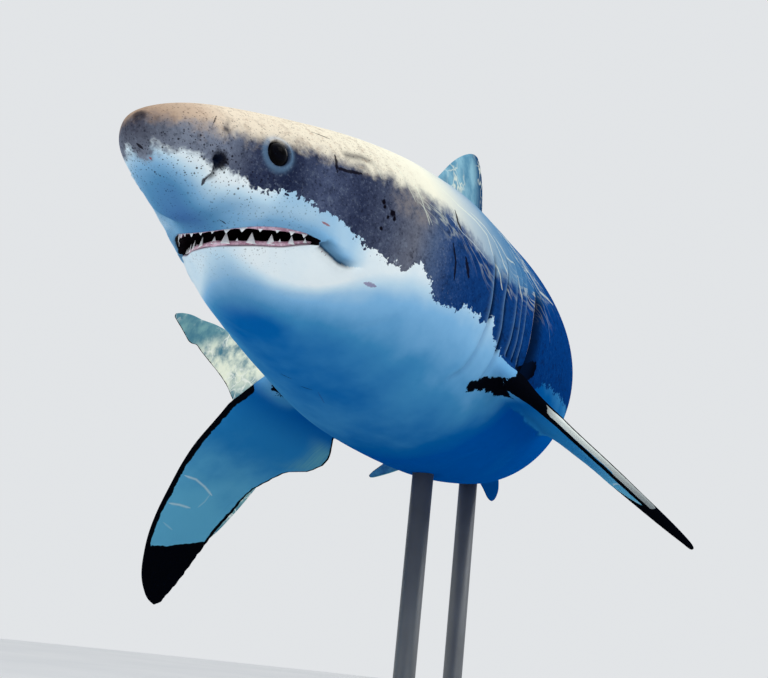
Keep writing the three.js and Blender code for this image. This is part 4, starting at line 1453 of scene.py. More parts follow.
@dataclass
class Jaws:
    """The teeth and gums that show between the lips.

    Attributes:
        midline: The bent midline.
        form: The body's surface.
        tooth_faces: Faces round a tooth and up it.
        gum_faces: Faces round a gum and along it.
        gum_ends: The gum's ends across, right and left.
        gum_radius: The gum's radius between the teeth.
    """

    midline: Midline
    form: BodyForm
    tooth_faces: tuple[int, int] = (14, 26)
    gum_faces: tuple[int, int] = (16, 150)
    gum_ends: tuple[float, float] = (-140.0, 172.0)
    gum_radius: float = 8.0

    def lip_level(self, arch: Arch, along: Array) -> Array:
        """The level of the lip that an arch stands behind."""
        return self.form.lower_level(along) if arch.up > 0 else self.form.upper_level(along)

    def add_tooth(self, bm: BMesh, arch: Arch, across: float, height: float) -> None:
        """Adds one tooth: a flat, pointed blade with fine serrations, rooted in the gum.

        Args:
            bm: The mesh.
            arch: The arch that it stands on.
            across: Its place across, to the shark's left.
            height: How far it stands beyond the lip's level.
        """
        columns, rows = self.tooth_faces
        verts, shares = new_sheet(bm, columns, rows)
        rise = shares[:, 1] ** 0.9
        turn = shares[:, 0] * 2 * math.pi
        length = height + arch.root
        half = arch.breadth * length * (1 - rise) ** 0.9 * (1 + 0.22 * (1 - rise) ** 5)
        serration = np.where(np.arange(len(rise)) // (columns + 1) % 2, 1, -1) * (rise > 0.2)
        half = half * (1 + 0.05 * serration)
        thick = 0.15 * length * (1 - rise) ** 0.7
        wide = half * np.sign(np.cos(turn)) * np.abs(np.cos(turn)) ** 0.9
        deep = thick * np.sin(turn) * np.where(np.sin(turn) > 0, 1.0, 0.45) + 0.06 * length * rise * rise
        shut = shares[:, 1] < 0.5 / rows
        wide, deep = np.where(shut, 0, wide), np.where(shut, 0, deep)
        side = 1.0 if across >= 0 else -1.0
        slope = float(arch.slope(across))
        norm = math.hypot(1, slope)
        along = arch.along(across) + slope / norm * wide + deep / norm
        sideways = across + side * wide / norm - side * deep * slope / norm - 0.04 * length * rise * side
        level = self.lip_level(arch, arch.along(np.array(across))) + arch.up * (rise * length - arch.root)
        place_sheet(bm, verts, self.midline.metres(np.stack([along, sideways, level], 1)))

    def teeth(self, arch: Arch) -> Object:
        """Makes the teeth of one arch, on both sides."""
        bm = bmesh.new()
        for across, height in arch.teeth:
            self.add_tooth(bm, arch, across, height)
        return new_object(f"teeth_{arch.jaw}", bm)

    def gum(self, arch: Arch) -> Object:
        """Makes the gum of one arch: a rounded ridge that swells round each tooth."""
        bm = bmesh.new()
        verts, shares = new_sheet(bm, *self.gum_faces)
        across = self.gum_ends[0] + (self.gum_ends[1] - self.gum_ends[0]) * shares[:, 1]
        along, slope = arch.along(across), arch.slope(across)
        turn = shares[:, 0] * 2 * math.pi
        swell = sum(bell(across - at, 8) for at, _ in arch.teeth)
        round_off = np.sqrt(np.maximum(1 - np.abs(2 * shares[:, 1] - 1) ** 8, 0.0))
        radius = (self.gum_radius + 1.6 * swell) * round_off
        norm = np.hypot(1, slope)
        deep = radius * np.cos(turn) + arch.behind
        seat = arch.seat + arch.bulge * bell(across - 115, 34)
        level = self.lip_level(arch, along) + arch.up * (radius * np.sin(turn) * 0.85 + seat)
        sideways = across - np.sign(across) * deep * slope / norm
        place_sheet(bm, verts, self.midline.metres(np.stack([along + deep / norm, sideways, level], 1)))
        bmesh.ops.holes_fill(bm, edges=[edge for edge in bm.edges if edge.is_boundary], sides=0)
        return new_object(f"gum_{arch.jaw}", bm)


# ---------------------------------------------------------------- stand


@dataclass
class Stand:
    """The display stand: a flat plate with rounded corners, and two rods with foot flanges.

    Attributes:
        size: The plate's length, width and thickness, in metres.
        corner: The radius of its corners.
        edge: The bevel of its edges.
        rod_radius: The rods' radius.
        flange: A foot flange's radius and thickness.
        flange_edge: The bevel of its rim.
        fillet: How far the rod flares into it.
        overlap: How far a rod goes on into the body.
    """

    size: Point = (1.5, 1.18, 0.04)
    corner: float = 0.12
    edge: float = 0.004
    rod_radius: float = 0.032
    flange: tuple[float, float] = (0.095, 0.016)
    flange_edge: float = 0.003
    fillet: float = 0.006
    overlap: float = 0.01

    def bevelled(self, bm: BMesh, edges: list[bmesh.types.BMEdge], offset: float, segments: int) -> None:
        """Rounds edges of a mesh."""
        kind = {"offset_type": "OFFSET", "affect": "EDGES", "profile": 0.5, "material": -1}
        bmesh.ops.bevel(bm, geom=edges, offset=offset, segments=segments, **kind)

    def plate(self) -> Object:
        """Makes the base plate with rounded corners and a fine bevel."""
        bm = bmesh.new()
        bmesh.ops.create_cube(bm, size=1.0)
        bmesh.ops.scale(bm, vec=self.size, verts=bm.verts[:])
        bmesh.ops.translate(bm, vec=(0, 0, self.size[2] / 2), verts=bm.verts[:])
        self.bevelled(bm, [edge for edge in bm.edges if self.rise(edge) > 0.01], self.corner, 14)
        rims = [
            edge
            for edge in bm.edges
            if self.rise(edge) < 1e-5 and len({round(face.normal.z, 3) for face in edge.link_faces}) > 1
        ]
        self.bevelled(bm, rims, self.edge, 3)
        return new_object("stand_plate", bm)

    @staticmethod
    def rise(edge: bmesh.types.BMEdge) -> float:
        """How much higher one end of an edge is than the other."""
        return abs(edge.verts[0].co.z - edge.verts[1].co.z)

    def rod(self, node: str) -> Object:
        """Makes one rod with its flange, in the place of its CAD node.

        Args:
            node: The CAD node that it stands for.

        Returns:
            The rod's object.
        """
        low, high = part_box(node)
        foot, top = low.z, high.z + self.overlap
        radius, height = self.flange
        profile = [
            (0.0, foot),
            (radius, foot),
            (radius, foot + height - self.flange_edge),
            (radius - self.flange_edge, foot + height),
            (self.rod_radius + self.fillet, foot + height),
            (self.rod_radius, foot + height + self.fillet),
            (self.rod_radius, top),
            (0.0, top),
        ]
        bm = bmesh.new()
        verts = [bm.verts.new((across, 0, up)) for across, up in profile]
        edges = [bm.edges.new(pair) for pair in zip(verts, verts[1:])]
        axis = {"cent": (0, 0, 0), "axis": (0, 0, 1), "dvec": (0, 0, 0)}
        bmesh.ops.spin(bm, geom=[*verts, *edges], **axis, angle=2 * math.pi, steps=64, use_merge=True)
        bmesh.ops.remove_doubles(bm, verts=bm.verts[:], dist=1e-6)
        bmesh.ops.recalc_face_normals(bm, faces=bm.faces[:])
        bmesh.ops.translate(bm, vec=((low.x + high.x) / 2, (low.y + high.y) / 2, 0), verts=bm.verts[:])
        for face in bm.faces:
            face.smooth = abs(face.normal.z) < 0.5
        return new_object(node.replace("rod", "tube"), bm)


# ---------------------------------------------------------------- shader graphs


def linear(colour: Colour) -> tuple[float, float, float, float]:
    """A colour given as it looks on a screen, from 0 to 255, in linear light."""
    shares = [value / 255 for value in colour]
    return (*(s / 12.92 if s <= 0.04045 else ((s + 0.055) / 1.055) ** 2.4 for s in shares), 1.0)


class Graph:
    """Writes shader nodes as if they were sums.

    A value is a socket or a number, and a colour is a socket or a colour as it looks on a screen.
    """

    def __init__(self, tree: Tree) -> None:
        """Starts on an empty tree."""
        self.tree = tree

    def feed(self, socket: Socket, value: object) -> None:
        """Links a socket to another, or sets its value."""
        if isinstance(value, Socket):
            self.tree.links.new(value, socket)
        else:
            socket.default_value = value

    def node(self, kind: str, **inputs: object) -> Node:
        """Adds a node and fills its inputs, given by name with spaces as underscores."""
        made = self.tree.nodes.new(kind)
        for name, value in inputs.items():
            self.feed(made.inputs[name.replace("_", " ")], value)
        return made

    def group(self, tree: Tree, **inputs: object) -> Socket:
        """Places a node group and gives its output."""
        made = self.tree.nodes.new("ShaderNodeGroup")
        made.node_tree = tree
        for name, value in inputs.items():
            self.feed(made.inputs[name], value)
        return made.outputs[0]

    def math(self, operation: str, *values: object) -> Socket:
        """A Math node's result."""
        made = self.tree.nodes.new("ShaderNodeMath")
        made.operation = operation
        for socket, value in zip(made.inputs, values):
            self.feed(socket, value)
        return made.outputs[0]

    def add(self, a: object, b: object) -> Socket:
        """a + b."""
        return self.math("ADD", a, b)

    def sub(self, a: object, b: object) -> Socket:
        """a - b."""
        return self.math("SUBTRACT", a, b)

    def mul(self, a: object, *others: object) -> Socket:
        """a * b, and so on."""
        for b in others:
            a = self.math("MULTIPLY", a, b)
        return a

    def high(self, a: object, b: object) -> Socket:
        """The larger of a and b."""
        return self.math("MAXIMUM", a, b)

    def low(self, a: object, b: object) -> Socket:
        """The smaller of a and b."""
        return self.math("MINIMUM", a, b)

    def total(self, *terms: tuple[Socket, float]) -> Socket:
        """A sum of sockets, each times its weight."""
        parts = [self.mul(value, weight) for value, weight in terms]
        while len(parts) > 1:
            parts[:2] = [self.add(parts[0], parts[1])]
        return parts[0]

    def ramp(
        self, value: object, low: object, high: object, to_low: float = 0.0, to_high: float = 1.0
    ) -> Socket:
        """A soft rise of value from low to high, between two results."""
        made = self.tree.nodes.new("ShaderNodeMapRange")
        made.interpolation_type = "SMOOTHSTEP"
        for socket, given in zip(made.inputs, (value, low, high, to_low, to_high)):
            self.feed(socket, given)
        return made.outputs[0]

    def bell(self, value: Socket, middle: float, width: float) -> Socket:
        """A soft mask round a value's middle, and of a half width."""
        return self.ramp(self.math("ABSOLUTE", self.sub(value, middle)), width, width * 0.35)

    def vector(self, operation: str, a: object, b: object) -> Socket:
        """A Vector Math node's result."""
        made = self.tree.nodes.new("ShaderNodeVectorMath")
        made.operation = operation
        self.feed(made.inputs[0], a)
        self.feed(made.inputs["Scale" if operation == "SCALE" else 1], b)
        return made.outputs["Value" if operation in ("DOT_PRODUCT", "DISTANCE") else "Vector"]

    def split(self, vector: Socket) -> tuple[Socket, ...]:
        """A vector's three parts."""
        return tuple(self.node("ShaderNodeSeparateXYZ", Vector=vector).outputs)

    def join(self, x: object, y: object) -> Socket:
        """A vector in the plane."""
        return self.node("ShaderNodeCombineXYZ", X=x, Y=y).outputs[0]

    def noise(self, place: Socket, scale: float, detail: float = 4.0, rough: float = 0.5) -> Socket:
        """Fractal noise round 0, from about -0.5 to 0.5."""
        made = self.node("ShaderNodeTexNoise", Vector=place, Scale=scale, Detail=detail, Roughness=rough)
        return self.sub(made.outputs["Fac"], 0.5)

    def warped(self, place: Socket, scale: object, reach: float) -> Socket:
        """A place moved to and fro by soft noise."""
        bend = self.node("ShaderNodeTexNoise", Vector=place, Scale=scale, Detail=2.0).outputs["Color"]
        shift = self.vector("SCALE", self.vector("SUBTRACT", bend, (0.5, 0.5, 0.5)), reach)
        return self.vector("ADD", place, shift)

    def mix(self, share: object, first: object, second: object) -> Socket:
        """A blend of two colours."""
        made = self.tree.nodes.new("ShaderNodeMix")
        made.data_type = "RGBA"
        self.feed(made.inputs["Factor"], share)
        for index, colour in ((6, first), (7, second)):
            self.feed(made.inputs[index], colour if isinstance(colour, Socket) else linear(colour))
        return made.outputs[2]

    def blend(self, value: object, low: object, high: object, first: object, second: object) -> Socket:
        """A blend from the first colour, where value is low, to the second, where it is high."""
        return self.mix(self.ramp(value, low, high), first, second)

    def colours(self, value: object, stops: Stops, length: float) -> Socket:
        """A run of colours.

        Args:
            value: Where on the run.
            stops: Places on the run, and the colour at each.
            length: The run's length, at least the last place.

        Returns:
            The colour at value.
        """
        made = self.node("ShaderNodeValToRGB", Fac=self.math("DIVIDE", value, length))
        ramp = made.color_ramp
        while len(ramp.elements) < len(stops):
            ramp.elements.new(0.5)
        for element, (place, colour) in zip(ramp.elements, stops):
            element.position = place / length
            element.color = linear(colour)
        return made.outputs["Color"]

    def attribute(self, name: str, output: str = "Fac") -> Socket:
        """One of the piece's own attributes."""
        made = self.tree.nodes.new("ShaderNodeAttribute")
        made.attribute_name = name
        return made.outputs[output]

    def place(self) -> Socket:
        """Object coordinates."""
        return self.tree.nodes.new("ShaderNodeTexCoord").outputs["Object"]


class Group(Graph):
    """A node group with one output."""

    VECTORS = ("Place", "Start", "Way")

    def __init__(self, name: str, *inputs: str, output: str = "Mask") -> None:
        """Starts the group.

        Args:
            name: The group's name.
            inputs: Its inputs' names; those in VECTORS are vectors, and the others numbers.
            output: Its output's name.
        """
        super().__init__(bpy.data.node_groups.new(name, "ShaderNodeTree"))
        for label in inputs:
            kind = "NodeSocketVector" if label in self.VECTORS else "NodeSocketFloat"
            self.tree.interface.new_socket(label, in_out="INPUT", socket_type=kind)
        self.tree.interface.new_socket(output, in_out="OUTPUT", socket_type="NodeSocketFloat")
        start = self.tree.nodes.new("NodeGroupInput")
        self.given = {socket.name: socket for socket in start.outputs if socket.name}

    def __getitem__(self, name: str) -> Socket:
        """One of the group's inputs."""
        return self.given[name]

    def edge(self, shift: Socket) -> Socket:
        """A mask that begins where the distance, moved by a shift of the reach, passes 0."""
        moved = self.add(self["Distance"], self.mul(shift, self["Reach"]))
        return self.ramp(self.math("DIVIDE", moved, self["Softness"]), -0.5, 0.5)

    def end(self, value: Socket) -> Tree:
        """Gives the group's result, and the finished group."""
        finish = self.tree.nodes.new("NodeGroupOutput")
        self.tree.links.new(value, finish.inputs[0])
        return self.tree


class Effects:
    """Node groups for effects that the finishes use in several places."""

    def __init__(self) -> None:
        """Builds each group once."""
        self.ragged = self.ragged_edge()
        self.leafy = self.leafy_edge()
        self.scratch = self.scratch_mark()
        self.specks = self.speckles()
        self.caustic = self.light_net()
        self.denticles = self.fine_skin()

    @staticmethod
    def ragged_edge() -> Tree:
        """A mask that begins at a torn edge where a signed distance passes 0."""
        g = Group("ragged edge", "Distance", "Place", "Reach", "Softness")
        layers = ((22.0, 2.0, 0.5, 1.5), (75.0, 3.0, 0.6, 1.1), (240.0, 2.0, 0.6, 0.55))
        noises = ((g.noise(g["Place"], *noise), weight) for *noise, weight in layers)
        return g.end(g.edge(g.total(*noises)))

    @staticmethod
    def leafy_edge() -> Tree:
        """A mask whose edge breaks up in rounded lobes and loose specks where a signed distance passes 0."""
        g = Group("leafy edge", "Distance", "Place", "Reach", "Softness")
        warped = g.warped(g["Place"], 60.0, 0.016)
        lobes = []
        for scale, weight in ((70.0, 1.5), (170.0, 1.1)):
            cells = g.node("ShaderNodeTexVoronoi", Vector=warped, Scale=scale)
            lobes.append((g.sub(0.44, cells.outputs["Distance"]), weight))
        return g.end(g.edge(g.total(*lobes, (g.noise(g["Place"], 30.0, 2.0), 2.2))))

    @staticmethod
    def scratch_mark() -> Tree:
        """A mask for one piece of a ragged scratch, with its width's share at its first and last end."""
        g = Group("scratch", "Place", "Start", "Way", "Width", "First", "Last", "Uneven", "Core")
        offset = g.vector("SUBTRACT", g["Place"], g["Start"])
        square = g.vector("DOT_PRODUCT", g["Way"], g["Way"])
        share = g.math("DIVIDE", g.vector("DOT_PRODUCT", offset, g["Way"]), square)
        share = g.low(g.high(share, 0.0), 1.0)
        gap = g.vector("DISTANCE", offset, g.vector("SCALE", g["Way"], share))
        first = g.add(g["First"], g.mul(share, 2.0))
        last = g.add(g["Last"], g.mul(g.sub(1.0, share), 2.0))
        taper = g.low(g.low(first, last), 1.0)
        width = g.mul(g["Width"], g.high(g.add(taper, g.mul(g["Uneven"], 1.8)), 0.05))
        return g.end(g.ramp(gap, width, g.mul(width, g["Core"])))

    @staticmethod
    def speckles() -> Tree:
        """A mask of small dark freckles of uneven size."""
        g = Group("speckles", "Place", "Pitch", "Amount")
        cells = g.node("ShaderNodeTexVoronoi", Vector=g["Place"], Scale=g["Pitch"])
        luck = g.node("ShaderNodeSeparateColor", Color=cells.outputs["Color"]).outputs
        size = g.add(g.mul(luck[0], 0.25), 0.2)
        spot = g.ramp(cells.outputs["Distance"], size, g.mul(size, 0.55))
        return g.end(g.mul(spot, g.math("LESS_THAN", luck[1], g["Amount"])))

    @staticmethod
    def light_net() -> Tree:
        """A mask of fine wavy lines, as light makes through moving water."""
        g = Group("light net", "Place", "Pitch", "Width")
        cells = g.tree.nodes.new("ShaderNodeTexVoronoi")
        cells.feature = "DISTANCE_TO_EDGE"
        g.feed(cells.inputs["Vector"], g.warped(g["Place"], g["Pitch"], 0.12))
        g.feed(cells.inputs["Scale"], g["Pitch"])
        line = g.ramp(cells.outputs["Distance"], g["Width"], 0.0)
        return g.end(g.mul(line, line, g.ramp(g.noise(g["Place"], 7.0, 2.0), -0.08, 0.16)))

    @staticmethod
    def fine_skin() -> Tree:
        """A height of fine grain and faint folds for the skin."""
        g = Group("fine skin", "Place", output="Height")
        grain, folds = g.noise(g["Place"], 420.0, 3.0, 0.6), g.noise(g["Place"], 26.0, 4.0, 0.55)
        return g.end(g.total((grain, 0.0012), (folds, 0.004)))


# ---------------------------------------------------------------- finishes


def new_material(name: str) -> tuple[bpy.types.Material, Graph, Node]:
    """Starts a material with a Principled shader.

    Args:
        name: The material's name.

    Returns:
        The material, a graph to write in it, and the shader.
    """
    made = bpy.data.materials.new(name)
    made.use_nodes = True
    tree = made.node_tree
    tree.nodes.clear()
    shader = tree.nodes.new("ShaderNodeBsdfPrincipled")
    output = tree.nodes.new("ShaderNodeOutputMaterial")
    tree.links.new(shader.outputs[0], output.inputs[0])
    return made, Graph(tree), shader


def bump(g: Graph, shader: Node, height: Socket, strength: float) -> None:
    """Gives a shader's normal a relief in metres."""
    made = g.node("ShaderNodeBump", Strength=strength, Distance=1.0, Height=height)
    g.tree.links.new(made.outputs[0], shader.inputs["Normal"])


@dataclass(frozen=True)
class Mark:
    """A scratch, scar or streak on the shark's left side, straightened.

    Attributes:
        line: Its corners, each along, across and level, in millimetres.
        width: Its half width at the middle, in millimetres.
        colour: Its colour as it looks on a screen.
        strength: How much it covers the coat, from 0 to 1.
        core: The share of its width that is at full strength.
    """

    line: tuple[tuple[float, float, float], ...]
    width: float
    colour: tuple[int, int, int] = (16, 12, 22)
    strength: float = 0.9
    core: float = 0.5


@dataclass(frozen=True)
class SkinFacts:
    """The sockets that the skin's colours are worked out from."""

    place: Socket
    straight: Socket
    along: Socket
    across: Socket
    level: Socket
    border: Socket
    crown: Socket
    tone: Socket
    on_fin: Socket
    span: Socket
    from_lead: Socket
    from_trail: Socket
    pectoral: Socket
    caudal: Socket
    dorsal: Socket

    @classmethod
    def read(cls, g: Graph) -> "SkinFacts":
        """Reads the skin's attributes in a graph."""
        straight = g.attribute("straight", "Vector")
        numbers = (g.attribute(name) for name in ("border", "crown", "tone", "on_fin"))
        span, from_lead, from_trail = g.split(g.attribute("fin_place", "Vector"))
        kinds = g.split(g.attribute("kind", "Vector"))
        return cls(g.place(), straight, *g.split(straight), *numbers, span, from_lead, from_trail, *kinds)


RED = (150, 62, 52)
PINK = (128, 76, 96)
CAUSTIC_CREAM = (226, 232, 214)
GLINT = (214, 236, 238)
NAVY = (14, 12, 22)


@dataclass(frozen=True)
class SkinFinish:
    """The coat: tan and slate to navy above a torn border, white below, with its marks; over it lie painted
    sunlight on the crown, a painted blue shade on the pale coat, painted caustic light, and painted highlights
    and shade.

    Attributes:
        effects: The shared effects.
        form: The body's surface.
        crown_colours: The crown's colours against the distance along, in metres: partly a tan of the skin at
            the snout, mostly painted sunlight, cream on the head and fading to blue behind.
        side_colours: The dark side's colours against it.
        belly_colours: The pale coat's colours, from white to deep blue, against the depth of its painted blue
            shade.
        marks: Scratches and scars over the whole coat.
        spots: Round dark spots: along, across, level and radius.
        streaks: Painted streaks of caustic light on the back and flanks, and one dark streak low on the side.
        glints: Streaks of light on the breast fins' undersides: span, distance from the lead, and 0.
        naris: The middle of the painted shade in the nostril, straightened, in metres.
        snout_tip: The middle of the dark patch at the snout's tip.
    """

    effects: Effects
    form: BodyForm
    crown_colours: Stops = (
        (0.02, (172, 148, 128)), (0.09, (206, 184, 162)), (0.16, (232, 218, 196)), (0.72, (238, 236, 216)),
        (0.90, (176, 192, 200)), (1.06, (110, 146, 176)), (1.24, (70, 118, 160)), (1.45, (30, 86, 142)),
        (1.62, (8, 62, 124)),
    )
    side_colours: Stops = (
        (0.0, (66, 68, 82)), (0.06, (122, 130, 146)), (0.13, (116, 124, 142)), (0.22, (48, 56, 82)),
        (0.30, (32, 40, 66)), (0.38, (72, 82, 110)), (0.48, (46, 54, 80)), (0.58, (72, 80, 102)),
        (0.66, (104, 108, 122)), (0.72, (76, 94, 126)), (0.80, (30, 64, 116)), (0.90, (16, 56, 114)),
        (1.10, (14, 58, 118)), (1.40, (4, 56, 122)),
    )
    belly_colours: Stops = (
        (0.0, (234, 244, 247)), (0.2, (190, 220, 238)), (0.4, (128, 184, 226)), (0.6, (64, 140, 192)),
        (0.8, (6, 98, 170)), (1.0, (0, 84, 168)),
    )
    marks: tuple[Mark, ...] = (
        # Painted shade along the nostril's groove.
        Mark(((139, 100, -45), (143, 93, -57), (140, 80, -72), (145, 73, -80)), 5.5, (34, 16, 28)),
        Mark(((141, 96, -50), (142, 86, -65)), 2.4, (120, 84, 104), 0.7),
        Mark(((26, -3, -37), (37, 4, -45)), 5.0),
        Mark(((54, 9, -56), (59, 9, -57)), 3.0, RED, 0.8),
        Mark(((117, 103, 53), (103, 109, 23)), 2.6),
        Mark(((350, 111, 165), (340, 176, 107)), 2.6),
        Mark(((369, 164, 138), (412, 185, 140)), 2.6),
        Mark(((401, 210, 92), (403, 220, 51)), 5.8),
        Mark(((402, 219, 61), (432, 230, 66), (471, 242, 76)), 5.6),
        Mark(((398, 201, -65), (420, 209, -67)), 3.4, RED, 0.75),
        Mark(((568, 222, -144), (603, 235, -141)), 6.5, (118, 88, 132), 0.7),
        Mark(((241, 55, -113), (256, 60, -116)), 2.0),
        Mark(((802, 321, 126), (807, 329, 96), (824, 334, 81)), 6.0),
        Mark(((789, 330, 33), (812, 331, -7), (822, 326, -50)), 5.0),
        Mark(((852, 340, 20), (880, 340, -22)), 10.0),
        Mark(((430, 192, -110), (426, 190, -121)), 1.3, PINK, 0.7),
        Mark(((439, 195, -113), (436, 193, -126)), 1.3, PINK, 0.7),
        Mark(((449, 198, -117), (447, 196, -130)), 1.3, PINK, 0.7),
        Mark(((731, -73, -304), (749, -50, -313)), 2.0),
        Mark(((783, -46, -321), (800, -20, -327)), 2.0),
        Mark(((810, -8, -330), (870, -22, -343)), 1.8, (40, 60, 110), 0.6),
    )
    spots: tuple[tuple[float, float, float, float], ...] = (
        (541, 257, 36, 8), (546, 259, 28, 6), (572, 268, 22, 11), (580, 270, 12, 7), (560, 262, 8, 5),
        (548, 258, -22, 6),
    )
    streaks: tuple[Mark, ...] = (
        Mark(((638, 278, 135), (673, 303, 72), (695, 309, 42)), 3.0, CAUSTIC_CREAM, 0.6, 0.0),
        Mark(((722, 285, 168), (765, 308, 143), (785, 320, 119), (796, 330, 77)), 3.6, CAUSTIC_CREAM, 0.55, 0.0),
        Mark(((598, 252, 157), (609, 270, 132), (623, 285, 101), (641, 294, 79)), 2.6, CAUSTIC_CREAM, 0.5, 0.0),
        Mark(((506, 222, 149), (518, 245, 120), (531, 260, 87)), 2.4, CAUSTIC_CREAM, 0.4, 0.0),
        Mark(((655, 297, 84), (680, 305, 69), (704, 311, 46)), 2.6, CAUSTIC_CREAM, 0.5, 0.0),
        Mark(((755, 288, 175), (834, 314, 154), (927, 324, 152), (989, 335, 135), (1002, 351, 83),
              (1048, 357, 44), (1060, 362, 6)), 5.0, CAUSTIC_CREAM, 0.65, 0.0),
        Mark(((912, 314, 169), (997, 324, 161), (1048, 336, 138), (1077, 348, 102), (1089, 364, 52),
              (1120, 361, 10)), 4.4, CAUSTIC_CREAM, 0.6, 0.0),
        Mark(((1052, 327, 160), (1136, 341, 125), (1190, 335, 130), (1220, 348, 100), (1216, 364, 25)),
             4.2, CAUSTIC_CREAM, 0.55, 0.0),
        Mark(((770, 324, 93), (825, 335, 76), (894, 343, 69), (963, 351, 54)), 3.4, (190, 204, 210), 0.6, 0.0),
        Mark(((1240, 270, 240), (1330, 290, 215), (1407, 317, 172), (1473, 330, 140), (1629, 323, 151)),
             7.0, CAUSTIC_CREAM, 0.55, 0.0),
        Mark(((1393, 330, 141), (1380, 338, 110), (1345, 352, 62), (1318, 360, 10), (1300, 360, -52),
              (1290, 350, -103)), 5.0, (196, 192, 172), 0.65, 0.0),
        Mark(((1467, 343, 96), (1497, 353, 49), (1510, 358, -9)), 3.0, (120, 160, 190), 0.5, 0.0),
        Mark(((1394, 229, -328), (1508, 238, -317), (1593, 255, -294), (1651, 273, -266)),
             7.0, (6, 40, 90), 0.6, 0.0),
    )
    glints: tuple[Mark, ...] = (
        Mark(((430, 30, 0), (424, 80, 0), (434, 130, 0), (452, 180, 0)), 6.0, GLINT, 0.6, 0.0),
        Mark(((530, 26, 0), (520, 70, 0), (516, 120, 0)), 6.0, GLINT, 0.6, 0.0),
        Mark(((452, 170, 0), (480, 165, 0), (505, 150, 0)), 4.5, (190, 224, 232), 0.4, 0.0),
        Mark(((590, 40, 0), (600, 90, 0)), 4.5, (190, 224, 232), 0.4, 0.0),
    )
    naris: Point = (0.143, 0.108, -0.031)
    snout_tip: Point = (0.006, 0.010, 0.010)

    def build(self) -> bpy.types.Material:
        """Makes the material.

        Returns:
            The skin's material.
        """
        made, g, shader = new_material("shark skin")
        facts = SkinFacts.read(g)
        uneven = g.noise(facts.straight, 150.0, 3.0, 0.7)
        colour = g.mix(self.torn_border(g, facts), self.pale_coat(g, facts), self.dark_coat(g, facts, uneven))
        colour = g.mix(self.freckles(g, facts), colour, (20, 18, 30))
        # Painted shade in the nostril.
        naris = self.spot(g, facts, self.naris, g.mul(uneven, 0.022), 0.027, 0.011)
        colour = g.mix(g.mul(naris, 0.95), colour, (10, 9, 17))
        for mark in self.marks:
            corners = np.array([self.form.snapped(corner) for corner in mark.line])
            colour = self.marked(g, facts.straight, mark, corners, uneven, colour)
        for *place, size in self.spots:
            middle = tuple(self.form.snapped(place) * MM)
            spot = self.spot(g, facts, middle, g.mul(uneven, 0.012), size * MM, size * 0.55 * MM)
            colour = g.mix(spot, colour, NAVY)
        reach = g.ramp(facts.on_fin, 0.1, 0.8, 0.018, 0.007)
        given = {"Distance": g.attribute("black"), "Place": facts.place, "Reach": reach, "Softness": 0.002}
        colour = g.mix(g.group(self.effects.ragged, **given), colour, (5, 7, 14))
        # Painted highlight on the gill flaps' crests and the eyelids, painted shade in clefts, grooves and the
        # hollow behind the gills, and the lips' own colour.
        tints = (("crest", 0.4, (126, 168, 204)), ("shade", 0.93, (5, 20, 44)), ("lip", 0.8, (104, 62, 84)))
        for name, strength, tint in tints:
            colour = g.mix(g.mul(g.attribute(name), strength), colour, tint)
        g.feed(shader.inputs["Base Color"], colour)
        g.feed(shader.inputs["Roughness"], g.add(0.46, g.mul(g.noise(facts.place, 30.0, 3.0), 0.2)))
        shader.inputs["Specular IOR Level"].default_value = 0.0
        bump(g, shader, g.group(self.effects.denticles, Place=facts.place), 0.5)
        return made

    @staticmethod
    def spot(g: Graph, facts: SkinFacts, middle: Point, shift: Socket, rim: float, core: float) -> Socket:
        """The mask of an uneven round spot, from its rim to its full core, in metres."""
        return g.ramp(g.add(g.vector("DISTANCE", facts.straight, middle), shift), rim, core)

    def marked(
        self, g: Graph, place: Socket, mark: Mark, corners: Array, uneven: Socket, colour: Socket
    ) -> Socket:
        """Lays a mark over a colour.

        Args:
            g: The graph.
            place: The place on the skin.
            mark: The mark.
            corners: Its corners in the same space as the place, in millimetres.
            uneven: Noise that makes its width uneven.
            colour: The colour below it.

        Returns:
            The colour with the mark.
        """
        mask = None
        for i, (start, end) in enumerate(zip(corners * MM, corners[1:] * MM)):
            piece = g.group(
                self.effects.scratch,
                Place=place,
                Start=tuple(start),
                Way=tuple(end - start),
                Width=mark.width * MM,
                First=0.35 if i == 0 else 1.0,
                Last=0.35 if i == len(corners) - 2 else 1.0,
                Uneven=uneven,
                Core=mark.core,
            )
            mask = piece if mask is None else g.high(mask, piece)
        return g.mix(g.mul(mask, mark.strength), colour, mark.colour)

    def torn_border(self, g: Graph, facts: SkinFacts) -> Socket:
        """The mask of the dark coat, with a leafy edge; softer and flatter on the fins."""
        reach = g.ramp(facts.along, 0.10, 0.30, 0.006, 0.014)
        reach = g.mul(reach, g.sub(1.0, g.mul(facts.on_fin, 0.9)))
        soft = g.ramp(facts.along, 0.18, 0.30, 0.016, 0.003)
        return g.group(self.effects.leafy, Distance=facts.border, Place=facts.place, Reach=reach, Softness=soft)

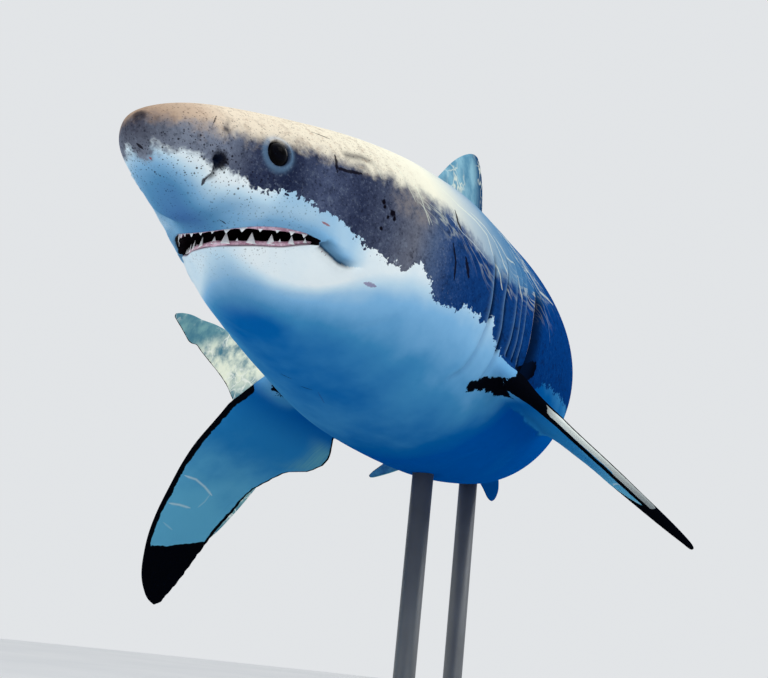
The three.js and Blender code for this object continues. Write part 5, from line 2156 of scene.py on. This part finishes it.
    def dark_coat(self, g: Graph, facts: SkinFacts, uneven: Socket) -> Socket:
        """The back's colour: tan and the cream of painted sunlight on top, slate on the head's side, navy
        behind the gills, with painted caustic light over it.

        Args:
            g: The graph.
            facts: The skin's sockets.
            uneven: Fine noise for the streaks' width.

        Returns:
            The colour.
        """
        mottle = g.noise(facts.place, 42.0, 5.0, 0.65)
        flecks = g.noise(facts.place, 150.0, 3.0, 0.6)
        side = g.colours(facts.along, self.side_colours, 1.5)
        light = g.blend(facts.along, 0.72, 0.95, (150, 164, 184), (40, 96, 160))
        side = g.mix(g.ramp(mottle, 0.02, 0.26, 0.0, 0.5), side, g.mix(0.45, side, light))
        side = g.mix(g.ramp(mottle, 0.0, -0.26, 0.0, 0.65), side, (14, 20, 40))
        side = g.mix(g.ramp(flecks, 0.05, 0.22, 0.0, 0.4), side, g.mix(0.5, side, light))
        side = g.mix(g.ramp(flecks, -0.04, -0.2, 0.0, 0.45), side, (8, 14, 32))
        brown = g.mul(g.bell(facts.along, 0.64, 0.10), g.bell(facts.level, 0.075, 0.06))
        side = g.mix(g.mul(brown, g.ramp(mottle, -0.15, 0.12, 0.0, 0.7)), side, (130, 124, 124))
        # The crown is partly a tan of the skin and mostly painted sunlight, cream on the head and blue behind.
        crown = g.colours(facts.along, self.crown_colours, 1.7)
        patch = g.ramp(g.noise(facts.place, 60.0, 4.0, 0.7), 0.02, 0.24)
        early = g.ramp(facts.along, 0.75, 0.45)
        crown = g.mix(g.mul(patch, early, 0.8), crown, (190, 168, 146))
        crown = g.mix(g.mul(g.ramp(mottle, 0.02, -0.22, 0.0, 0.4), early), crown, (126, 104, 92))
        edge = g.add(facts.crown, g.mul(g.noise(facts.place, 26.0, 5.0, 0.65), 0.085))
        body = g.mix(g.mul(g.ramp(edge, -0.026, 0.026), g.ramp(facts.along, 1.75, 1.45)), side, crown)
        tip = self.spot(g, facts, self.snout_tip, g.mul(mottle, 0.02), 0.020, 0.007)
        body = g.mix(g.mul(tip, 0.7), body, (22, 22, 34))
        body = self.lit_back(g, facts, uneven, body)
        return g.mix(facts.on_fin, body, self.fin_tops(g, facts))

    def lit_back(self, g: Graph, facts: SkinFacts, uneven: Socket, body: Socket) -> Socket:
        """Lays the painted slanted net of caustic light and the painted streaks of light over the back's
        colour.

        Args:
            g: The graph.
            facts: The skin's sockets.
            uneven: Fine noise for the streaks' width.
            body: The back's colour.

        Returns:
            The colour with its painted light.
        """
        unrolled = g.attribute("unrolled", "Vector")
        ahead, round_it, _ = g.split(unrolled)
        slanted = g.join(g.total((ahead, 0.35), (round_it, 0.2)), g.total((round_it, 0.9), (ahead, 0.3)))
        caustic_web = g.group(self.effects.caustic, Place=slanted, Pitch=24.0, Width=0.11)
        stretch = g.mul(g.ramp(facts.along, 0.50, 0.75), g.ramp(facts.along, 1.75, 1.35))
        # Painted caustic light: a slanted net of light over the back's top.
        body = g.mix(g.mul(caustic_web, stretch, g.ramp(facts.crown, -0.09, 0.0), 0.62), body, CAUSTIC_CREAM)
        for streak in self.streaks:
            corners = self.form.unroll(np.array(streak.line, float))
            body = self.marked(g, unrolled, streak, corners, uneven, body)
        return body

    def fin_tops(self, g: Graph, facts: SkinFacts) -> Socket:
        """The colours of the back fin, the tail fin and the upper sides of the paired fins, with a painted
        highlight along the breast fins' leading edges, painted light in the tail fin's middle and painted
        caustic light.
        """
        cloud = g.noise(facts.place, 9.0, 4.0, 0.6)
        net = g.group(self.effects.caustic, Place=facts.place, Pitch=15.0, Width=0.12)
        # Painted highlight along the breast fins' leading edges, paler near the root.
        lead_highlight = g.blend(facts.span, 0.10, 0.60, (232, 240, 234), (140, 148, 150))
        lit = g.mul(g.bell(facts.from_lead, 0.009, 0.021), g.ramp(facts.span, 0.05, 0.16))
        upper = g.mix(lit, g.blend(facts.from_lead, 0.05, 0.09, (10, 22, 40), (18, 58, 108)), lead_highlight)
        dorsal = g.blend(cloud, -0.15, 0.15, (84, 136, 164), (134, 180, 198))
        dorsal = g.blend(facts.from_trail, 0.16, 0.03, dorsal, (24, 66, 106))
        # Painted caustic light on the back fin.
        dorsal = g.mix(g.mul(net, 0.8), dorsal, CAUSTIC_CREAM)
        # Painted light through the tail fin's middle, then painted caustic light over the tail fin.
        glow = g.mul(g.ramp(facts.span, 0.18, 0.30), g.ramp(facts.span, 0.60, 0.48))
        caudal = g.blend(cloud, -0.18, 0.18, (76, 128, 148), (126, 172, 174))
        caudal = g.mix(g.mul(glow, g.ramp(cloud, -0.22, 0.10)), caudal, (244, 250, 228))
        caudal = g.mix(g.mul(net, 0.7), caudal, (252, 255, 246))
        plain = g.blend(cloud, -0.2, 0.2, (12, 62, 120), (60, 120, 160))
        tops = g.mix(facts.pectoral, plain, upper)
        return g.mix(facts.dorsal, g.mix(facts.caudal, tops, caudal), dorsal)

    def pale_coat(self, g: Graph, facts: SkinFacts) -> Socket:
        """The belly's colour, from white to the deep blue of a painted shade, and the undersides of the fins.
        """
        drift = g.mul(g.noise(facts.place, 9.0, 3.0), 0.22)
        pale = g.colours(g.add(facts.tone, drift), self.belly_colours, 1.0)
        grey = g.mul(g.ramp(facts.along, 0.50, 0.36, 0.0, 0.24), g.ramp(facts.tone, 0.12, 0.40))
        return g.mix(facts.on_fin, g.mix(grey, pale, (132, 148, 156)), self.fin_undersides(g, facts))

    def fin_undersides(self, g: Graph, facts: SkinFacts) -> Socket:
        """The blue undersides of the paired fins, paler round the right one's trailing corner, with painted
        glints of light on the breast fins and painted light and shade on the belly fins.
        """
        cloud = g.mul(g.noise(facts.place, 7.0, 4.0, 0.55), 0.25)
        blue = g.blend(g.add(facts.span, cloud), 0.20, 0.52, (34, 126, 190), (100, 182, 218))
        blue = g.blend(facts.span, 0.20, 0.02, blue, (0, 92, 168))
        rays = g.noise(g.join(g.mul(facts.span, 9.0), g.mul(facts.from_lead, 130.0)), 1.0, 2.0)
        corner = g.mul(g.ramp(facts.from_trail, 0.16, 0.05), g.bell(facts.span, 0.18, 0.10))
        corner = g.mul(corner, g.ramp(facts.across, 0.01, -0.01), g.ramp(rays, -0.2, 0.2, 0.5, 1.0))
        blue = g.mix(corner, blue, (92, 162, 186))
        flat = g.join(facts.span, facts.from_lead)
        # Painted glints of caustic light on the breast fins' undersides.
        for glint in self.glints:
            blue = self.marked(g, flat, glint, np.array(glint.line, float), cloud, blue)
        # Painted light and shade: the right belly fin is painted pale and lit, the left one deep blue in shade.
        pelvic = g.blend(facts.across, -0.01, 0.01, (80, 150, 170), (0, 70, 140))
        return g.mix(facts.pectoral, pelvic, blue)

    def freckles(self, g: Graph, facts: SkinFacts) -> Socket:
        """Dark freckles, thick on the snout's sides and the head, thin on the cheeks and lips."""
        small = g.group(self.effects.specks, Place=facts.straight, Pitch=225.0, Amount=0.36)
        shifted = g.vector("ADD", facts.straight, (3.0, 1.0, 2.0))
        large = g.group(self.effects.specks, Place=shifted, Pitch=140.0, Amount=0.24)
        snout = g.mul(g.ramp(facts.along, 0.34, 0.22), g.ramp(facts.along, 0.008, 0.03))
        near = g.mul(snout, g.ramp(g.math("ABSOLUTE", g.sub(facts.border, 0.006)), 0.062, 0.022))
        head = g.mul(g.ramp(facts.along, 0.72, 0.50), g.mul(g.ramp(facts.border, 0.0, 0.02), 0.55))
        lips = g.mul(g.ramp(facts.along, 0.42, 0.34), g.mul(g.ramp(facts.border, -0.17, -0.10), 0.4))
        share = g.high(near, g.high(head, g.mul(lips, g.sub(1.0, facts.on_fin))))
        return g.mul(g.high(small, large), g.mul(share, 0.9))


@dataclass(frozen=True)
class CloudedFinish:
    """A finish of two colours in soft clouds.

    Attributes:
        name: The material's name.
        scale: How fine the clouds are.
        spread: Where in the clouds the first colour ends, and where the second begins.
        colours: The two colours.
        detail: How much detail the clouds have.
        rough: How strong that detail is.
        roughness: The surface's roughness.
        uneven: How much the clouds change it.
        specular: The surface's specular level.
        metallic: How metallic it is.
        grain: The scale, detail, height in metres and strength of its relief, if it has one.
    """

    name: str
    scale: float
    spread: tuple[float, float]
    colours: tuple[Colour, Colour]
    detail: float = 3.0
    rough: float = 0.5
    roughness: float = 0.5
    uneven: float = 0.2
    specular: float = 0.5
    metallic: float = 0.0
    grain: tuple[float, float, float, float] | None = None

    def colour(self, g: Graph, cloud: Socket) -> Socket:
        """The surface's colour."""
        return g.blend(cloud, *self.spread, *self.colours)

    def build(self) -> bpy.types.Material:
        """Makes the material.

        Returns:
            The material.
        """
        made, g, shader = new_material(self.name)
        place = g.place()
        cloud = g.noise(place, self.scale, self.detail, self.rough)
        g.feed(shader.inputs["Base Color"], self.colour(g, cloud))
        g.feed(shader.inputs["Roughness"], g.add(self.roughness, g.mul(cloud, self.uneven)))
        shader.inputs["Specular IOR Level"].default_value = self.specular
        shader.inputs["Metallic"].default_value = self.metallic
        if self.grain:
            scale, detail, height, strength = self.grain
            bump(g, shader, g.mul(g.noise(place, scale, detail, self.rough), height), strength)
        return made


@dataclass(frozen=True)
class EyeFinish(CloudedFinish):
    """A black, wet eye with a faint dark-blue iris."""

    pupil: Colour = (2, 2, 4)

    def colour(self, g: Graph, cloud: Socket) -> Socket:
        """The pupil's colour, with the iris as a ring round it."""
        gap = g.attribute("off_axis")
        ring = g.mul(g.ramp(gap, 8.0, 13.0), g.ramp(gap, 23.0, 18.0))
        return g.mix(ring, self.pupil, super().colour(g, cloud))


# The mouth's inside is painted near black: painted shade.
SHADED_MOUTH_LINING = CloudedFinish(
    "mouth lining", 40.0, (-0.2, 0.3), ((5, 3, 6), (20, 9, 16)), roughness=0.6, specular=0.05
)
GUM = CloudedFinish(
    "gum", 110.0, (-0.18, 0.2), ((168, 120, 142), (222, 194, 210)), 4.0, 0.65,
    roughness=0.40, specular=0.2, grain=(110.0, 4.0, 0.004, 0.3),
)
ENAMEL = CloudedFinish(
    "enamel", 90.0, (-0.25, 0.25), ((214, 222, 228), (250, 251, 252)), roughness=0.25, uneven=0.15
)
EYE = EyeFinish(
    "eye", 260.0, (-0.2, 0.3), ((2, 2, 6), (8, 11, 20)), roughness=0.08, uneven=0.04, specular=0.03
)
STAND_PAINT = CloudedFinish(
    "stand paint", 6.0, (-0.3, 0.3), ((86, 90, 94), (104, 108, 112)), 4.0,
    roughness=0.42, uneven=0.12, metallic=0.25, grain=(320.0, 2.0, 0.0004, 0.4),
)
FLOOR_PAINT = CloudedFinish(
    "floor", 0.8, (-0.4, 0.4), ((226, 228, 230), (236, 237, 238)), roughness=0.8, uneven=0.02
)


# ---------------------------------------------------------------- studio


@dataclass(frozen=True)
class Lamp:
    """A square soft lamp.

    Attributes:
        name: Its name.
        place: Where it hangs, in metres.
        target: What it shines at.
        size: Its side.
        power: Its power in watts.
    """

    name: str
    place: Point
    target: Point
    size: float
    power: float

    def build(self) -> None:
        """Adds the lamp."""
        light = bpy.data.lights.new(self.name, "AREA")
        light.size = self.size
        light.energy = self.power
        made = bpy.data.objects.new(self.name, light)
        made.location = self.place
        made.rotation_euler = (Vector(self.target) - Vector(self.place)).to_track_quat("-Z", "Y").to_euler()
        bpy.context.scene.collection.objects.link(made)


@dataclass
class Studio:
    """A plain pale floor, soft light and the camera.

    Attributes:
        camera_place: Where the camera is, in metres.
        heading: The way it looks, in degrees from +X.
        tilt: How far it looks up, in degrees.
        roll: How far it leans, in degrees.
        lens: Its focal length in millimetres.
        floor_radius: The floor's radius, in metres.
        sky_colour: The colour of the surrounding light.
        sky_strength: Its strength.
        lamps: The lamps.
    """

    camera_place: Point = (2.937, 1.474, 0.500)
    heading: float = 208.46
    tilt: float = 16.1
    roll: float = 6.18
    lens: float = 49.89
    floor_radius: float = 16.0
    sky_colour: Point = (0.95, 0.975, 1.0)
    sky_strength: float = 0.8
    lamps: tuple[Lamp, ...] = (
        Lamp("key", (1.6, 3.4, 4.6), (0.6, 0.1, 1.4), 2.4, 44.0),
        Lamp("top", (0.5, 1.0, 5.0), (0.5, 0.0, 1.4), 4.0, 34.0),
        Lamp("fill", (4.4, -0.8, 1.6), (0.8, 0.1, 1.3), 2.6, 25.0),
        Lamp("back", (-2.6, 1.2, 4.2), (0.2, 0.0, 1.5), 2.0, 35.0),
    )

    def build(self) -> None:
        """Makes the floor, the lights and the camera."""
        bm = bmesh.new()
        bmesh.ops.create_circle(bm, cap_ends=True, segments=96, radius=self.floor_radius)
        floor = new_object("floor", bm)
        floor.data.materials.append(FLOOR_PAINT.build())
        self.sky()
        for lamp in self.lamps:
            lamp.build()
        self.camera()

    def sky(self) -> None:
        """Makes the soft surrounding light."""
        world = bpy.data.worlds.new("studio")
        world.use_nodes = True
        back = world.node_tree.nodes["Background"]
        back.inputs["Color"].default_value = (*self.sky_colour, 1.0)
        back.inputs["Strength"].default_value = self.sky_strength
        bpy.context.scene.world = world
        bpy.context.scene.view_settings.view_transform = "Standard"

    def camera(self) -> None:
        """Adds the camera."""
        heading, tilt, roll = (math.radians(v) for v in (self.heading, self.tilt, self.roll))
        ahead = Vector((math.cos(tilt) * math.cos(heading), math.cos(tilt) * math.sin(heading), math.sin(tilt)))
        right = ahead.cross(Vector((0, 0, 1))).normalized()
        up = right.cross(ahead)
        right, up = right * math.cos(roll) + up * math.sin(roll), up * math.cos(roll) - right * math.sin(roll)
        lens = bpy.data.cameras.new("camera")
        lens.lens = self.lens
        lens.sensor_width = 36.0
        lens.sensor_fit = "HORIZONTAL"
        made = bpy.data.objects.new("camera", lens)
        turn = Matrix((right, up, -ahead)).transposed().to_4x4()
        made.matrix_world = Matrix.Translation(self.camera_place) @ turn
        bpy.context.scene.collection.objects.link(made)
        bpy.context.scene.camera = made


# ---------------------------------------------------------------- assembly


def add_piece(piece: Object, material: bpy.types.Material, slot: str, *nodes: str) -> None:
    """Dresses a piece, makes it ride on the body, and reports it.

    Args:
        piece: The finished piece.
        material: Its material.
        slot: The name of a material slot; not used.
        nodes: The CAD nodes that it stands for.
    """
    if not piece.data.materials:
        piece.data.materials.append(material)
    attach(piece, BODY)
    if nodes:
        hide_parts(*nodes)
    LOG.info("%s: %d faces", piece.name, len(piece.data.polygons))


def main() -> None:
    """Builds the shark, its stand and the studio, in order."""
    logging.basicConfig(level=logging.INFO, format="%(name)s: %(message)s")
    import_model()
    midline, form = Midline(), BodyForm()

    skin = Skin(midline, form, FinSet(midline, form)).build()
    skin.data.materials.append(SkinFinish(Effects(), form).build())
    skin.data.materials.append(SHADED_MOUTH_LINING.build())
    add_piece(skin, skin.data.materials[0], "skin_back", *FLESH_NODES)

    eyes, eye_finish = Eyes(midline, form), EYE.build()
    for side in Side:
        add_piece(eyes.build(side), eye_finish, "eye", f"eye_{side.name.lower()}")

    jaws, enamel, gum = Jaws(midline, form), ENAMEL.build(), GUM.build()
    for build, finish in ((jaws.teeth, enamel), (jaws.gum, gum)):
        for arch in (UPPER_ARCH, LOWER_ARCH):
            add_piece(build(arch), finish, "skin_belly")

    stand, paint = Stand(), STAND_PAINT.build()
    add_piece(stand.plate(), paint, "stand", "stand_base")
    for node in ("stand_rod_front", "stand_rod_rear"):
        add_piece(stand.rod(node), paint, "stand", node)

    Studio().build()


if __name__ == "__main__":
    main()
